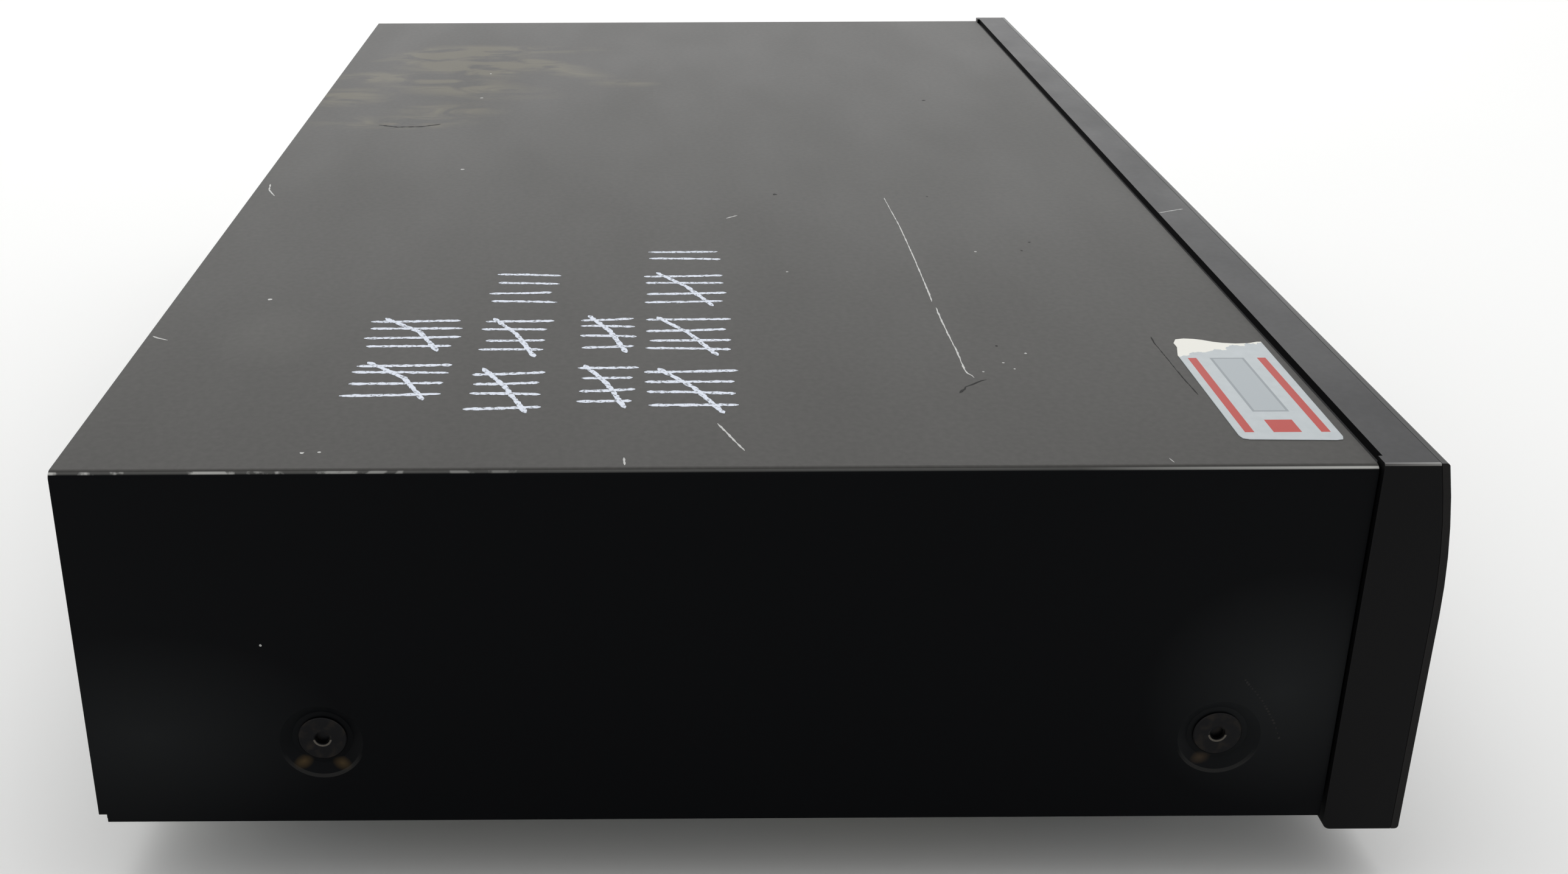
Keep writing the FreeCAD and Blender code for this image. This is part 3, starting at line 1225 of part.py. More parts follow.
def make_loader_frame():
    wall_ends = ("loader_front_y", "loader_rear_y")
    added, taken = [], []
    for side, sign in (("left", -1), ("right", 1)):
        def ends(inner, outer):
            return (f"{inner}", f"{outer}") if sign > 0 else (f"-({outer})", f"-({inner})")
        added.append(block(f"loader_wall_{side}", ends("wall_x", "wall_out_x"), wall_ends,
                           ("loader_low_z", "loader_high_z")))
        added.append(block(f"loader_ledge_{side}", ends("tray_half + fit_gap", "wall_x + 1"), wall_ends,
                           ("runner_low_z - runner_play - 1.8", "runner_low_z - runner_play")))
        for place, start in enumerate(("loader_front_y + 4", "loader_front_y + 62", "loader_front_y + 120")):
            added.append(block(f"loader_hook_{side}_{place}", ends("tray_half + fit_gap", "wall_x + 1"),
                               (start, f"{start} + 12"),
                               ("runner_low_z + runner_thick + fit_gap",
                                "runner_low_z + runner_thick + fit_gap + 2")))
        added.append(round_bar(f"loader_boss_{side}", "x", "pivot_radius + 2.5",
                               ends("traverse_half + 2", "wall_x + 1"), y="pivot_y", z="pivot_z"))
        taken.append(round_bar(f"loader_pivot_bore_{side}", "x", "pivot_radius + axle_play",
                               ends("traverse_half", "wall_out_x + 1"), y="pivot_y", z="pivot_z"))
        for place, start in enumerate(EAR_STARTS):
            added.append(block(f"loader_ear_{side}_{place}", ends("wall_out_x - 1", "wall_out_x + ear_reach"),
                               (start, f"{start} + ear_width"), ("ear_z", "ear_z + ear_thick")))
            taken.append(round_bar(f"loader_ear_hole_{side}_{place}", "z", "screw_radius + 0.2",
                                   ("ear_z - 1", "ear_z + ear_thick + 1"),
                                   x=f"{'' if sign > 0 else '-'}ear_hole_x",
                                   y=f"{start} + ear_width / 2"))
        taken.append(block(f"loader_window_{side}", ends("wall_x - 1", "wall_out_x + 1"),
                           ("loader_front_y + 34", "loader_rear_y - 52"),
                           ("loader_low_z + 6", "runner_low_z - 9")))
    added.append(block("loader_deck", ("-wall_x - 1", "wall_x + 1"), ("loader_front_y", "cam_front_y - 3"),
                       ("deck_low_z", "deck_high_z")))
    added.append(block("loader_rear_beam", ("-wall_x - 1", "wall_x + 1"),
                       ("loader_rear_y - 5", "loader_rear_y"), ("loader_low_z", "pivot_z + 4")))
    added.append(block("loader_cam_wall", ("-16", "wall_x + 1"), ("cam_front_y - 3", "cam_front_y - fit_gap"),
                       ("cam_low_z - 1.6", "deck_high_z")))
    added.append(block("loader_cam_floor", ("-16", "wall_x + 1"),
                       ("cam_front_y - 3", "cam_front_y + cam_thick + 2"),
                       ("cam_low_z - 1.6", "cam_low_z - fit_gap")))
    for place, across in enumerate(("26", "52")):
        added.append(block(f"loader_cam_guide_{place}", (across, f"{across} + 6"),
                           ("cam_front_y + cam_thick + fit_gap", "cam_front_y + cam_thick + 2"),
                           ("cam_low_z - 1", "cam_low_z + 2.4")))
    across, back, _ = pinion_place()
    centre = {"x": "tray_gear_x", "y": "tray_gear_y"}
    added.append(round_bar("tray_gear_boss", "z", "5", ("deck_high_z - 1", "tray_gear_low_z - 0.1"),
                           **centre))
    added.append(round_bar("tray_gear_post", "z", "tray_gear_axle", ("deck_high_z", "tray_gear_top_z + 0.2"),
                           **centre))
    centre = {"x": str(across), "y": str(back)}
    added.append(round_bar("pulley_boss", "z", "3", ("deck_high_z - 1", "pulley_low_z - 0.1"), **centre))
    added.append(round_bar("pulley_post", "z", "pinion_axle", ("deck_high_z", "tray_gear_top_z + 0.2"),
                           **centre))
    taken.append(round_bar("motor_hole", "z", "3.1", ("deck_low_z - 1", "deck_high_z + 1"),
                           x="motor_across", y="motor_y"))
    node("loader_frame", cut("loader_cut", fuse("loader_built", added), taken))


def make_loader_brackets():
    pieces = []
    for side, sign in (("left", -1), ("right", 1)):
        def ends(inner, outer):
            return (inner, outer) if sign > 0 else (f"-({outer})", f"-({inner})")
        ear_end = "wall_out_x + ear_reach"
        length = ("loader_front_y + 2", "loader_rear_y - 8")
        top = block(f"bracket_top_{side}", ends("wall_out_x + 1", ear_end), length,
                    ("ear_z - sheet_thick", "ear_z"))
        web = block(f"bracket_web_{side}", ends(f"{ear_end} - sheet_thick", ear_end), length,
                    ("floor_z", "ear_z"))
        foot = block(f"bracket_foot_{side}", ends(f"{ear_end} - sheet_thick", f"{ear_end} + bracket_foot"),
                     length, ("floor_z", "floor_z + sheet_thick"))
        gap = block(f"bracket_gap_{side}", ends("wall_out_x", f"{ear_end} + bracket_foot + 1"),
                    ("loader_front_y + 30", "loader_rear_y - 38"), ("floor_z + 8", "ear_z + 1"))
        bead = block(f"bracket_bead_gap_{side}", ends("wall_out_x", f"{ear_end} + bracket_foot + 1"),
                     ("foot_front_y + 42 - bead_width / 2 - 1", "foot_front_y + 42 + bead_width / 2 + 1"),
                     ("floor_z - 1", "floor_z + bead_height + 0.2"))
        holes = [round_bar(f"bracket_hole_{side}_{place}", "z", "screw_radius + screw_play",
                           ("ear_z - 3", "ear_z + 1"), x=f"{'' if sign > 0 else '-'}ear_hole_x",
                           y=f"{start} + ear_width / 2")
                 for place, start in enumerate(EAR_STARTS)]
        bent = fuse(f"bracket_bent_{side}", [top, web, foot])
        pieces.append(cut(f"bracket_{side}", bent, [gap, bead] + holes))
    node("loader_brackets", group("bracket_pair", pieces))


def make_clamp_bridge():
    plate = block("bridge_plate", ("-wall_out_x", "wall_out_x"),
                  ("spindle_y - bridge_half", "spindle_y + bridge_half"), ("bridge_low_z", "bridge_high_z"))
    folds = [block(f"bridge_fold_{end}", ("4 - wall_x", "wall_x - 4"), (low, high),
                   ("bridge_low_z", "bridge_high_z + bridge_fold"))
             for end, low, high in (
                 ("front", "spindle_y - bridge_half", "spindle_y - bridge_half + bridge_thick"),
                 ("rear", "spindle_y + bridge_half - bridge_thick", "spindle_y + bridge_half"))]
    hole = round_bar("bridge_opening", "z", "bridge_hole", ("bridge_low_z - 1", "bridge_high_z + 1"),
                     x="0", y="spindle_y")
    lightening = [round_bar(f"bridge_light_{side}", "z", "9", ("bridge_low_z - 1", "bridge_high_z + 1"),
                            x=f"{sign}42", y="spindle_y") for side, sign in (("left", "-"), ("right", ""))]
    node("clamp_bridge", cut("bridge_cut", fuse("bridge_bent", [plate] + folds), [hole] + lightening))


def make_clamper():
    low = "disc_z + fit_gap"
    flange_z = "bridge_high_z + fit_gap"
    centre = {"x": "0", "y": "spindle_y"}
    node("clamper", turned("clamper_body", [
        ("0", f"{low} + 3.9"), ("hub_radius + 0.9", f"{low} + 3.9"), ("hub_radius + 1.7", low),
        ("clamper_radius", low), ("clamper_radius", flange_z), ("clamper_flange", flange_z),
        ("clamper_flange", f"{flange_z} + 1.5"), ("9.1", f"{flange_z} + 1.5"), ("9.1", f"{flange_z} - 1.5"),
        ("0", f"{flange_z} - 1.5")], **centre))
    node("clamper_magnet", turned("magnet_body", [
        ("3", f"{flange_z} - 1.5"), ("9", f"{flange_z} - 1.5"), ("9", f"{flange_z} + 1"),
        ("3", f"{flange_z} + 1")], **centre))


def make_spindle():
    centre = {"x": "0", "y": "spindle_y"}
    deck, foot = "plate_deck_high_z", "plate_deck_low_z - 4.4"
    node("spindle_motor", turned("spindle_motor_body", [
        ("0", foot), ("4", foot), ("4", deck), ("13", deck), ("13", f"{deck} + 1"), ("10.6", f"{deck} + 1"),
        ("10.6", f"{deck} + 4.1"), ("spindle_radius + axle_play", f"{deck} + 4.1"),
        ("spindle_radius + axle_play", f"{foot} + 1"), ("0", f"{foot} + 1")], **centre))
    node("turntable", turned("turntable_body", [
        ("0", f"{foot} + 1.2"), ("spindle_radius", f"{foot} + 1.2"), ("spindle_radius", f"{deck} + 4.9"),
        ("11.4", f"{deck} + 4.9"), ("11.4", f"{deck} + 1.5"), ("12.4", f"{deck} + 1.5"),
        ("12.4", "disc_z - 4.6"), ("turntable_radius", "disc_z - 3.4"), ("turntable_radius", "disc_z"),
        ("hub_radius", "disc_z"), ("hub_radius", "disc_z + 1.4"), ("hub_radius - 1.3", "disc_z + 3"),
        ("0", "disc_z + 3")], **centre))


def make_traverse():
    outer = block("traverse_outer", ("-traverse_half", "traverse_half"),
                  ("traverse_front_y", "traverse_rear_y"), ("traverse_low_z", "traverse_high_z"))
    inner = block("traverse_inner", ("traverse_bar - traverse_half", "traverse_half - traverse_bar"),
                  ("traverse_front_y + traverse_bar", "bush_rear_y + 13"),
                  ("traverse_low_z - 1", "traverse_high_z + 1"))
    lugs, bores = [], []
    for side, sign in (("left", "-"), ("right", "")):
        for end in ("front", "rear"):
            across, back = f"{sign}bush_across", f"bush_{end}_y"
            wide = ("bush_across - 6", "traverse_half - 1")
            if side == "left":
                wide = ("1 - traverse_half", "6 - bush_across")
            lugs.append(block(f"traverse_lug_{side}_{end}", wide, (f"{back} - 6", f"{back} + 6"),
                              ("traverse_low_z", "traverse_low_z + 3")))
            bores.append(round_bar(f"traverse_bore_{side}_{end}", "z", "screw_radius + screw_play",
                                   ("traverse_low_z - 1", "traverse_low_z + 4"), x=across, y=back))
        lugs.append(round_bar(f"traverse_pivot_{side}", "x", "pivot_radius",
                              ("-wall_out_x + 0.4", "1 - traverse_half") if sign
                              else ("traverse_half - 1", "wall_out_x - 0.4"), y="pivot_y", z="pivot_z"))
    pins = [round_bar(f"traverse_pin_{side}", "y", "cam_pin_radius",
                      ("cam_front_y + fit_gap", "traverse_front_y + 1"), x=f"cam_pin_{side}", z="cam_pin_z")
            for side in ("left", "right")]
    ring = cut("traverse_ring", outer, [inner])
    node("traverse_frame", cut("traverse_cut", fuse("traverse_built", [ring] + lugs + pins), bores))


def make_cam_slider():
    """An upright plate with two slanting slots, which lowers the traverse as it moves across."""
    low, high = number("cam_low_z"), number("cam_low_z + cam_height")
    left, right = number("cam_pin_left") - 6, number("cam_pin_right + cam_travel") + 6
    drop, travel, pin_z = number("cam_drop"), number("cam_travel"), number("cam_pin_z")
    plate = Part.makeBox(right - left, high - low, number("cam_thick"), FreeCAD.Vector(left, low, 0))
    for name in ("cam_pin_left", "cam_pin_right"):
        across, radius = number(name), number("cam_slot_radius")
        slope = math.atan2(drop, travel)
        spare = (0.5 * math.cos(slope), 0.5 * math.sin(slope))
        slot = loop_face((across - spare[0], pin_z + spare[1]),
                         (across + travel + spare[0], pin_z - drop - spare[1]), radius, radius)
        plate = plate.cut(slot.extrude(FreeCAD.Vector(0, 0, number("cam_thick"))))
    cam = doc.addObject("Part::Feature", "cam_plate")
    cam.Shape = plate
    cam.Placement = FreeCAD.Placement(FreeCAD.Vector(0, number("cam_front_y + cam_thick"), 0),
                                      FreeCAD.Rotation(FreeCAD.Vector(1, 0, 0), 90))
    node("cam_slider", cam)


def make_deck_plate():
    owner = body("deck_sheet")
    plan = sketch(owner, "deck_plan", "XY_Plane", "plate_deck_low_z", rectangle(
        "-plate_deck_half", "plate_deck_half", "plate_deck_front_y", "plate_deck_rear_y"))
    pad(owner, "deck_blank", plan, "plate_deck_thick")
    opening = sketch(owner, "deck_opening", "XY_Plane", "plate_deck_high_z", rectangle(
        "-24.5", "24.5", "lens_y - 11.5", "lens_y + pickup_travel + 14"))
    pocket(owner, "deck_window", opening, "plate_deck_thick")
    motor_gap = sketch(owner, "deck_motor_gap", "XY_Plane", "plate_deck_high_z", rectangle(
        "screw_across - 7", "screw_across + 7",
        "lens_y + pickup_travel + 15.5", "lens_y + pickup_travel + 29"))
    pocket(owner, "deck_motor_window", motor_gap, "plate_deck_thick")
    holders, holes = [], []
    rod_ends = (("front", "lens_y - 14.5", "lens_y - 12"),
                ("rear", "lens_y + pickup_travel + 14.2", "lens_y + pickup_travel + 15.2"))
    for place, (name, low, high) in enumerate(rod_ends):
        for side, across in (("left", "-rod_across"), ("right", "rod_across")):
            holders.append(block(f"rod_holder_{side}_{name}", (f"{across} - 3", f"{across} + 3"), (low, high),
                                 ("rod_z - 2.6", "plate_deck_low_z + 0.1")))
            holes.append(round_bar(f"rod_hole_{side}_{name}", "y", "rod_radius + screw_play",
                                   (f"{low} - 1", f"{high} + 1"), x=across, z="rod_z"))
    holders.append(block("screw_holder", ("screw_across - 3.2", "screw_across + 3.2"),
                         ("lens_y - 14.5", "lens_y - 12"), ("rod_z - 2.6", "plate_deck_low_z + 0.1")))
    holes.append(round_bar("screw_hole", "y", "rod_radius + axle_play", ("lens_y - 15", "lens_y - 11"),
                           x="screw_across", z="rod_z"))
    holes.append(round_bar("deck_bearing_hole", "z", "4.2", ("plate_deck_low_z - 1", "plate_deck_high_z + 1"),
                           x="0", y="spindle_y"))
    for side, sign in (("left", "-"), ("right", "")):
        for end in ("front", "rear"):
            holes.append(round_bar(f"deck_bush_hole_{side}_{end}", "z", "bush_waist + 0.1",
                                   ("plate_deck_low_z - 1", "plate_deck_high_z + 1"),
                                   x=f"{sign}bush_across", y=f"bush_{end}_y"))
    node("deck_plate", cut("deck_cut", fuse("deck_formed", [owner] + holders), holes))


def make_bushes():
    pieces = []
    foot, head = "traverse_low_z + 3", "traverse_low_z + 3 + bush_height"
    for side, sign in (("left", "-"), ("right", "")):
        for end in ("front", "rear"):
            pieces.append(turned(f"bush_{side}_{end}", [
                ("bush_bore", foot), ("bush_radius", foot), ("bush_radius", "plate_deck_low_z - 0.05"),
                ("bush_waist", "plate_deck_low_z - 0.05"), ("bush_waist", "plate_deck_high_z + 0.05"),
                ("bush_radius", "plate_deck_high_z + 0.05"), ("bush_radius", head), ("bush_bore", head)],
                x=f"{sign}bush_across", y=f"bush_{end}_y"))
    node("rubber_bushes", group("bush_set", pieces))


def make_sled():
    rods = [round_bar(f"rod_{side}", "y", "rod_radius", ("lens_y - 14.4", "lens_y + pickup_travel + 15.1"),
                      x=f"{sign}rod_across", z="rod_z") for side, sign in (("left", "-"), ("right", ""))]
    node("guide_rods", group("rod_pair", rods))
    centre = {"x": "screw_across", "z": "rod_z"}
    motor_y = "lens_y + pickup_travel + 15.6"
    can = round_bar("sled_can", "y", "6.4", (motor_y, f"{motor_y} + 10.5"), **centre)
    plate = block("sled_plate", ("screw_across - 5.5", "screw_across + 7.5"), (f"{motor_y} - 1.2", motor_y),
                  ("rod_z - 6", "plate_deck_low_z"))
    bore = round_bar("sled_bore", "y", "rod_radius + axle_play", (f"{motor_y} - 2", f"{motor_y} + 6"),
                     **centre)
    node("sled_motor", cut("sled_motor_cut", fuse("sled_motor_built", [can, plate]), [bore]))
    node("lead_screw", round_bar("lead_bar", "y", "rod_radius", ("lens_y - 14.4", f"{motor_y} + 5"),
                                 **centre))


def make_pickup():
    """The sled that carries the lens, with a sleeve on each rod and a finger at the lead screw."""
    middle = block("pickup_block", ("-23", "23"), ("lens_y - 9", "lens_y + 11"),
                   ("rod_z - 4", "plate_deck_high_z + 3.2"))
    sleeves = [block("pickup_sleeve_left", ("-rod_across - 3.5", "-22"), ("lens_y - 9", "lens_y + 3"),
                     ("rod_z - 3", "plate_deck_low_z - 0.4")),
               block("pickup_sleeve_right", ("22", "rod_across + 3.8"), ("lens_y - 9", "lens_y + 11"),
                     ("rod_z - 3", "plate_deck_low_z - 0.4"))]
    finger = block("pickup_finger", ("rod_across + 3", "screw_across - rod_radius - 0.3"),
                   ("lens_y - 3", "lens_y + 3"), ("rod_z - 1", "rod_z + 1"))
    holes = [round_bar(f"pickup_bore_{side}", "y", "rod_radius + axle_play", ("lens_y - 10", "lens_y + 12"),
                       x=f"{sign}rod_across", z="rod_z") for side, sign in (("left", "-"), ("right", ""))]
    holes.append(round_bar("pickup_well", "z", "lens_radius + 0.4",
                           ("plate_deck_high_z - 1", "plate_deck_high_z + 5"), x="0", y="lens_y"))
    for side, across in (("left", ("-19", "-12")), ("right", ("12", "19"))):
        holes.append(block("pickup_waist_" + side, across, ("lens_y + 6", "lens_y + 12"),
                           ("rod_z - 5", "plate_deck_high_z + 5")))
    node("optical_pickup", cut("pickup_cut", fuse("pickup_built", [middle] + sleeves + [finger]), holes))
    low = "plate_deck_high_z + lens_travel - 0.7"
    node("objective_lens", turned("lens_body", [
        ("0", low), ("lens_radius", low), ("lens_radius", f"{low} + 5.4"), ("3.4", f"{low} + 6.2"),
        ("2.6", f"{low} + 6.6"), ("1.6", f"{low} + 7.3"), ("0", f"{low} + 7.6")], x="0", y="lens_y"))


# Boards and sockets

def make_boards():
    outlines = {"power_supply_board": ("supply", ("-supply_left", "-supply_right"),
                                       ("supply_front_y", "supply_front_y + supply_length")),
                "main_board": ("main", ("main_left", "main_right"), ("main_front_y", "board_rear_y")),
                "audio_board": ("audio", ("audio_left", "audio_right"), ("audio_front_y", "board_rear_y"))}
    for name, (stands, across, along_y) in outlines.items():
        sheet = block(name + "_sheet", across, along_y, ("stand_z", "board_top_z"))
        holes = [round_bar(f"{name}_hole_{place}", "z", "screw_radius + screw_play",
                           ("stand_z - 1", "board_top_z + 1"), x=hole_x, y=hole_y)
                 for place, (hole_x, hole_y) in enumerate(STANDS[stands])]
        node(name, cut(name + "_cut", sheet, holes))


def finned(name, across, along_y, up, fins, base):
    """A heat sink: a flat base with upright fins along Y."""
    low, high = across
    blank = block(name + "_blank", across, along_y, up)
    wide = f"((({high}) - ({low})) / {2 * fins - 1})"
    gaps = [block(f"{name}_gap_{place}",
                  (f"{low} + {2 * place + 1} * {wide}", f"{low} + {2 * place + 2} * {wide}"),
                  (f"{along_y[0]} - 1", f"{along_y[1]} + 1"), (f"{up[0]} + {base}", f"{up[1]} + 1"))
            for place in range(fins - 1)]
    return cut(name + "_finned", blank, gaps)


# Each can's place on the supply board, its radius and its height
SUPPLY_CANS = (("can_aside", "first_can_back", "first_can_radius", "first_can_height"),
               ("can_aside", "second_can_back", "can_radius", "can_height"),
               ("far_can_aside", "third_can_back", "can_radius", "can_height"),
               ("can_aside", "last_can_back", "can_radius", "last_can_height"))


def make_supply_parts():
    core_x, core_y = "-supply_left + transformer_aside", "supply_front_y + transformer_back"
    core = block("transformer_core", (f"{core_x} - core_width / 2", f"{core_x} + core_width / 2"),
                 (f"{core_y} - core_length / 2", f"{core_y} + core_length / 2"),
                 ("board_top_z + core_gap", "board_top_z + core_top"))
    bobbin = block("transformer_bobbin", (f"{core_x} - bobbin_width / 2", f"{core_x} + bobbin_width / 2"),
                   (f"{core_y} - bobbin_length / 2", f"{core_y} + bobbin_length / 2"),
                   ("board_top_z", "board_top_z + bobbin_top"))
    node("power_transformer", fuse("transformer_built", [core, bobbin]))
    cans = [round_bar("bulk_capacitor", "z", "bulk_radius", ("board_top_z", "board_top_z + bulk_height"),
                      x="-supply_left + bulk_aside", y="supply_front_y + bulk_back")]
    for place, (across, back, radius, tall) in enumerate(SUPPLY_CANS):
        cans.append(round_bar(f"supply_capacitor_{place}", "z", radius,
                              ("board_top_z", f"board_top_z + {tall}"),
                              x=f"-supply_left + {across}", y=f"supply_front_y + {back}"))
    node("supply_capacitors", group("supply_cans", cans))
    left, front = "-supply_left + sink_aside", "supply_front_y + sink_back"
    return finned("supply_sink", (left, f"{left} + sink_width"), (front, f"{front} + sink_length"),
                  ("board_top_z", "board_top_z + sink_height"), 5, "sink_base")


# Each chip's place on the main board, half its side and its thickness; the first carries the heat sink
MAIN_CHIPS = (("-main_chip_aside", "main_chip_back", "main_chip_half", "main_chip_thick"),
              ("6", "22", "7", "1.2"), ("6", "42", "7", "1.2"), ("34", "26", "9", "1.6"),
              ("62", "22", "6", "1.2"), ("-70", "40", "8", "1.6"))


def make_main_parts():
    chips = [block(f"chip_{place}", (f"{across} - {half}", f"{across} + {half}"),
                   (f"main_front_y + {back} - {half}", f"main_front_y + {back} + {half}"),
                   ("board_top_z", f"board_top_z + {tall}"))
             for place, (across, back, half, tall) in enumerate(MAIN_CHIPS)]
    plug_front = "main_front_y + connector_back"
    connectors = [block(f"connector_{place}",
                        (f"{across} - connector_width / 2", f"{across} + connector_width / 2"),
                        (plug_front, f"{plug_front} + connector_depth"),
                        ("board_top_z", "board_top_z + connector_height"))
                  for place, across in enumerate(("-loader_cable_across", "front_cable_across"))]
    node("main_chips", group("chip_set", chips + connectors))
    return finned("main_sink", ("-main_chip_aside - main_sink_half", "-main_chip_aside + main_sink_half"),
                  ("main_front_y + main_chip_back - main_sink_half",
                   "main_front_y + main_chip_back + main_sink_half"),
                  ("board_top_z + main_chip_thick", "board_top_z + main_sink_top"), 7, "main_sink_base")


def make_audio_parts():
    cans = [round_bar(f"audio_capacitor_{column}_{row}", "z", "audio_can_radius",
                      ("board_top_z", "board_top_z + audio_can_height"),
                      x=f"jack_first + {column} * jack_pitch",
                      y=f"audio_front_y + audio_can_back + {row} * audio_can_pitch")
            for column in range(4) for row in range(2)]
    node("audio_capacitors", group("audio_cans", cans))


def make_jacks():
    pieces = []
    for place in range(4):
        across = f"jack_first + {place} * jack_pitch"
        built = [block(f"jack_housing_{place}", (f"{across} - 8", f"{across} + 8"),
                       ("panel_in_y - 13", "panel_in_y"),
                       ("board_top_z", "jack_low_z + jack_row_pitch + 8"))]
        bores = []
        for row in range(2):
            centre = {"x": across, "z": f"jack_low_z + {row} * jack_row_pitch"}
            built.append(round_bar(f"jack_ring_{place}_{row}", "y", "jack_hole - 0.2",
                                   ("panel_in_y - 1", "panel_out_y + jack_ring_proud"), **centre))
            built.append(round_bar(f"jack_barrel_{place}_{row}", "y", "jack_radius",
                                   ("panel_in_y - 1", "rear_y"), **centre))
            bores.append(round_bar(f"jack_bore_{place}_{row}", "y", "jack_bore",
                                   ("rear_y - 9", "rear_y + 1"), **centre))
        pieces.append(cut(f"jack_pair_{place}", fuse(f"jack_built_{place}", built), bores))
    node("analogue_sockets", group("jack_set", pieces))
    housing = block("coax_housing", ("coax_across - 7", "coax_across + 7"), ("panel_in_y - 12", "panel_in_y"),
                    ("board_top_z", "jack_low_z + 7"))
    centre = {"x": "coax_across", "z": "jack_low_z"}
    ring = round_bar("coax_ring", "y", "jack_hole - 0.2", ("panel_in_y - 1", "panel_out_y + jack_ring_proud"),
                     **centre)
    barrel = round_bar("coax_barrel", "y", "jack_radius", ("panel_in_y - 1", "rear_y"), **centre)
    bore = round_bar("coax_bore", "y", "jack_bore", ("rear_y - 9", "rear_y + 1"), **centre)
    coax = cut("coax_socket", fuse("coax_built", [housing, ring, barrel]), [bore])
    housing = block("optical_housing", ("optical_across - 7", "optical_across + 7"),
                    ("panel_in_y - 12", "panel_in_y"), ("board_top_z", "jack_low_z + 7"))
    snout = block("optical_snout", ("optical_across - 5", "optical_across + 5"),
                  ("panel_in_y - 1", "panel_out_y + 1"), ("jack_low_z - 5", "jack_low_z + 5"))
    well = block("optical_well", ("optical_across - 3.2", "optical_across + 3.2"),
                 ("panel_out_y - 8", "panel_out_y + 2"), ("jack_low_z - 3.2", "jack_low_z + 3.2"))
    optical = cut("optical_socket", fuse("optical_built", [housing, snout]), [well])
    node("digital_sockets", group("digital_pair", [coax, optical]))


def make_hdmi_socket():
    across, low = "hdmi_across", "board_top_z + 0.2"
    shell = block("hdmi_shell", (f"{across} - 7.7", f"{across} + 7.7"),
                  ("panel_in_y - 11", "panel_out_y + 0.4"), ("board_top_z", f"{low} + 5.6"))
    hollow = block("hdmi_hollow", (f"{across} - 7.1", f"{across} + 7.1"),
                   ("panel_in_y - 8", "panel_out_y + 1"), (f"{low} + 0.5", f"{low} + 5.1"))
    tongue = block("hdmi_tongue", (f"{across} - 6", f"{across} + 6"), ("panel_in_y - 9", "panel_out_y - 0.6"),
                   (f"{low} + 2.6", f"{low} + 3.6"))
    node("hdmi_socket", fuse("hdmi_built", [cut("hdmi_cut", shell, [hollow]), tongue]))


def make_lan_socket():
    across = "lan_across"
    shell = block("lan_shell", (f"{across} - 8.1", f"{across} + 8.1"),
                  ("panel_in_y - 15", "panel_out_y + 0.4"), ("board_top_z", "board_top_z + 13.8"))
    hollow = block("lan_hollow", (f"{across} - 6", f"{across} + 6"), ("panel_in_y - 11", "panel_out_y + 1"),
                   ("board_top_z + 2.2", "board_top_z + 9.6"))
    latch = block("lan_latch", (f"{across} - 2.8", f"{across} + 2.8"), ("panel_in_y - 6", "panel_out_y + 1"),
                  ("board_top_z + 9.5", "board_top_z + 11.8"))
    node("lan_socket", cut("lan_cut", shell, [hollow, latch]))


def make_mains_inlet():
    across, middle = "-inlet_across", "inlet_z"
    shell = block("inlet_shell", (f"{across} - inlet_width / 2", f"{across} + inlet_width / 2"),
                  ("panel_in_y - 18", "panel_out_y"),
                  (f"{middle} - inlet_height / 2", f"{middle} + inlet_height / 2"))
    flange = block("inlet_flange", (f"{across} - inlet_width / 2 - 2.5", f"{across} + inlet_width / 2 + 2.5"),
                   ("panel_out_y", "panel_out_y + 2.4"),
                   (f"{middle} - inlet_height / 2 - 2", f"{middle} + inlet_height / 2 + 2"))
    hollow = block("inlet_hollow", (f"{across} - 12.2", f"{across} + 12.2"),
                   ("panel_in_y - 13", "panel_out_y + 3"), (f"{middle} - 8.2", f"{middle} + 8.2"))
    pins = [block(f"inlet_pin_{place}", (f"{across} + {x} - 1", f"{across} + {x} + 1"),
                  ("panel_in_y - 14", "panel_out_y - 1"), (f"{middle} + {z} - 2", f"{middle} + {z} + 2"))
            for place, (x, z) in enumerate(((-7, -2), (0, 3), (7, -2)))]
    leg = block("inlet_leg", (f"{across} - 9", f"{across} + 9"), ("panel_in_y - 17", "panel_in_y - 9"),
                ("board_top_z", f"{middle} - inlet_height / 2 + 0.5"))
    housing = cut("inlet_cut", fuse("inlet_shells", [shell, flange, leg]), [hollow])
    node("mains_inlet", fuse("inlet_built", [housing] + pins))


# Feet, screws and cables

def make_feet():
    feet, pads = [], []
    for name, (across, back) in FEET.items():
        feet.append(turned("foot_" + name, [
            ("screw_radius + 0.3", "foot_well_z"), ("6", "foot_well_z"), ("6", "foot_low_z"),
            ("10", "foot_low_z"), ("10", "pad_thick"), ("foot_radius - 4", "pad_thick"),
            ("foot_radius - 4", "foot_low_z"), ("foot_radius - 2", "foot_low_z"),
            ("foot_radius - 1", "foot_low_z + 1.2"), ("foot_radius", "foot_height"),
            ("screw_radius + 0.3", "foot_height")], x=across, y=back))
        pads.append(turned("pad_" + name, [
            ("10.1", "0"), ("foot_radius - 4.1", "0"), ("foot_radius - 4.1", "pad_thick"),
            ("10.1", "pad_thick")], x=across, y=back))
    node("feet", group("foot_set", feet))
    node("foot_pads", group("pad_set", pads))


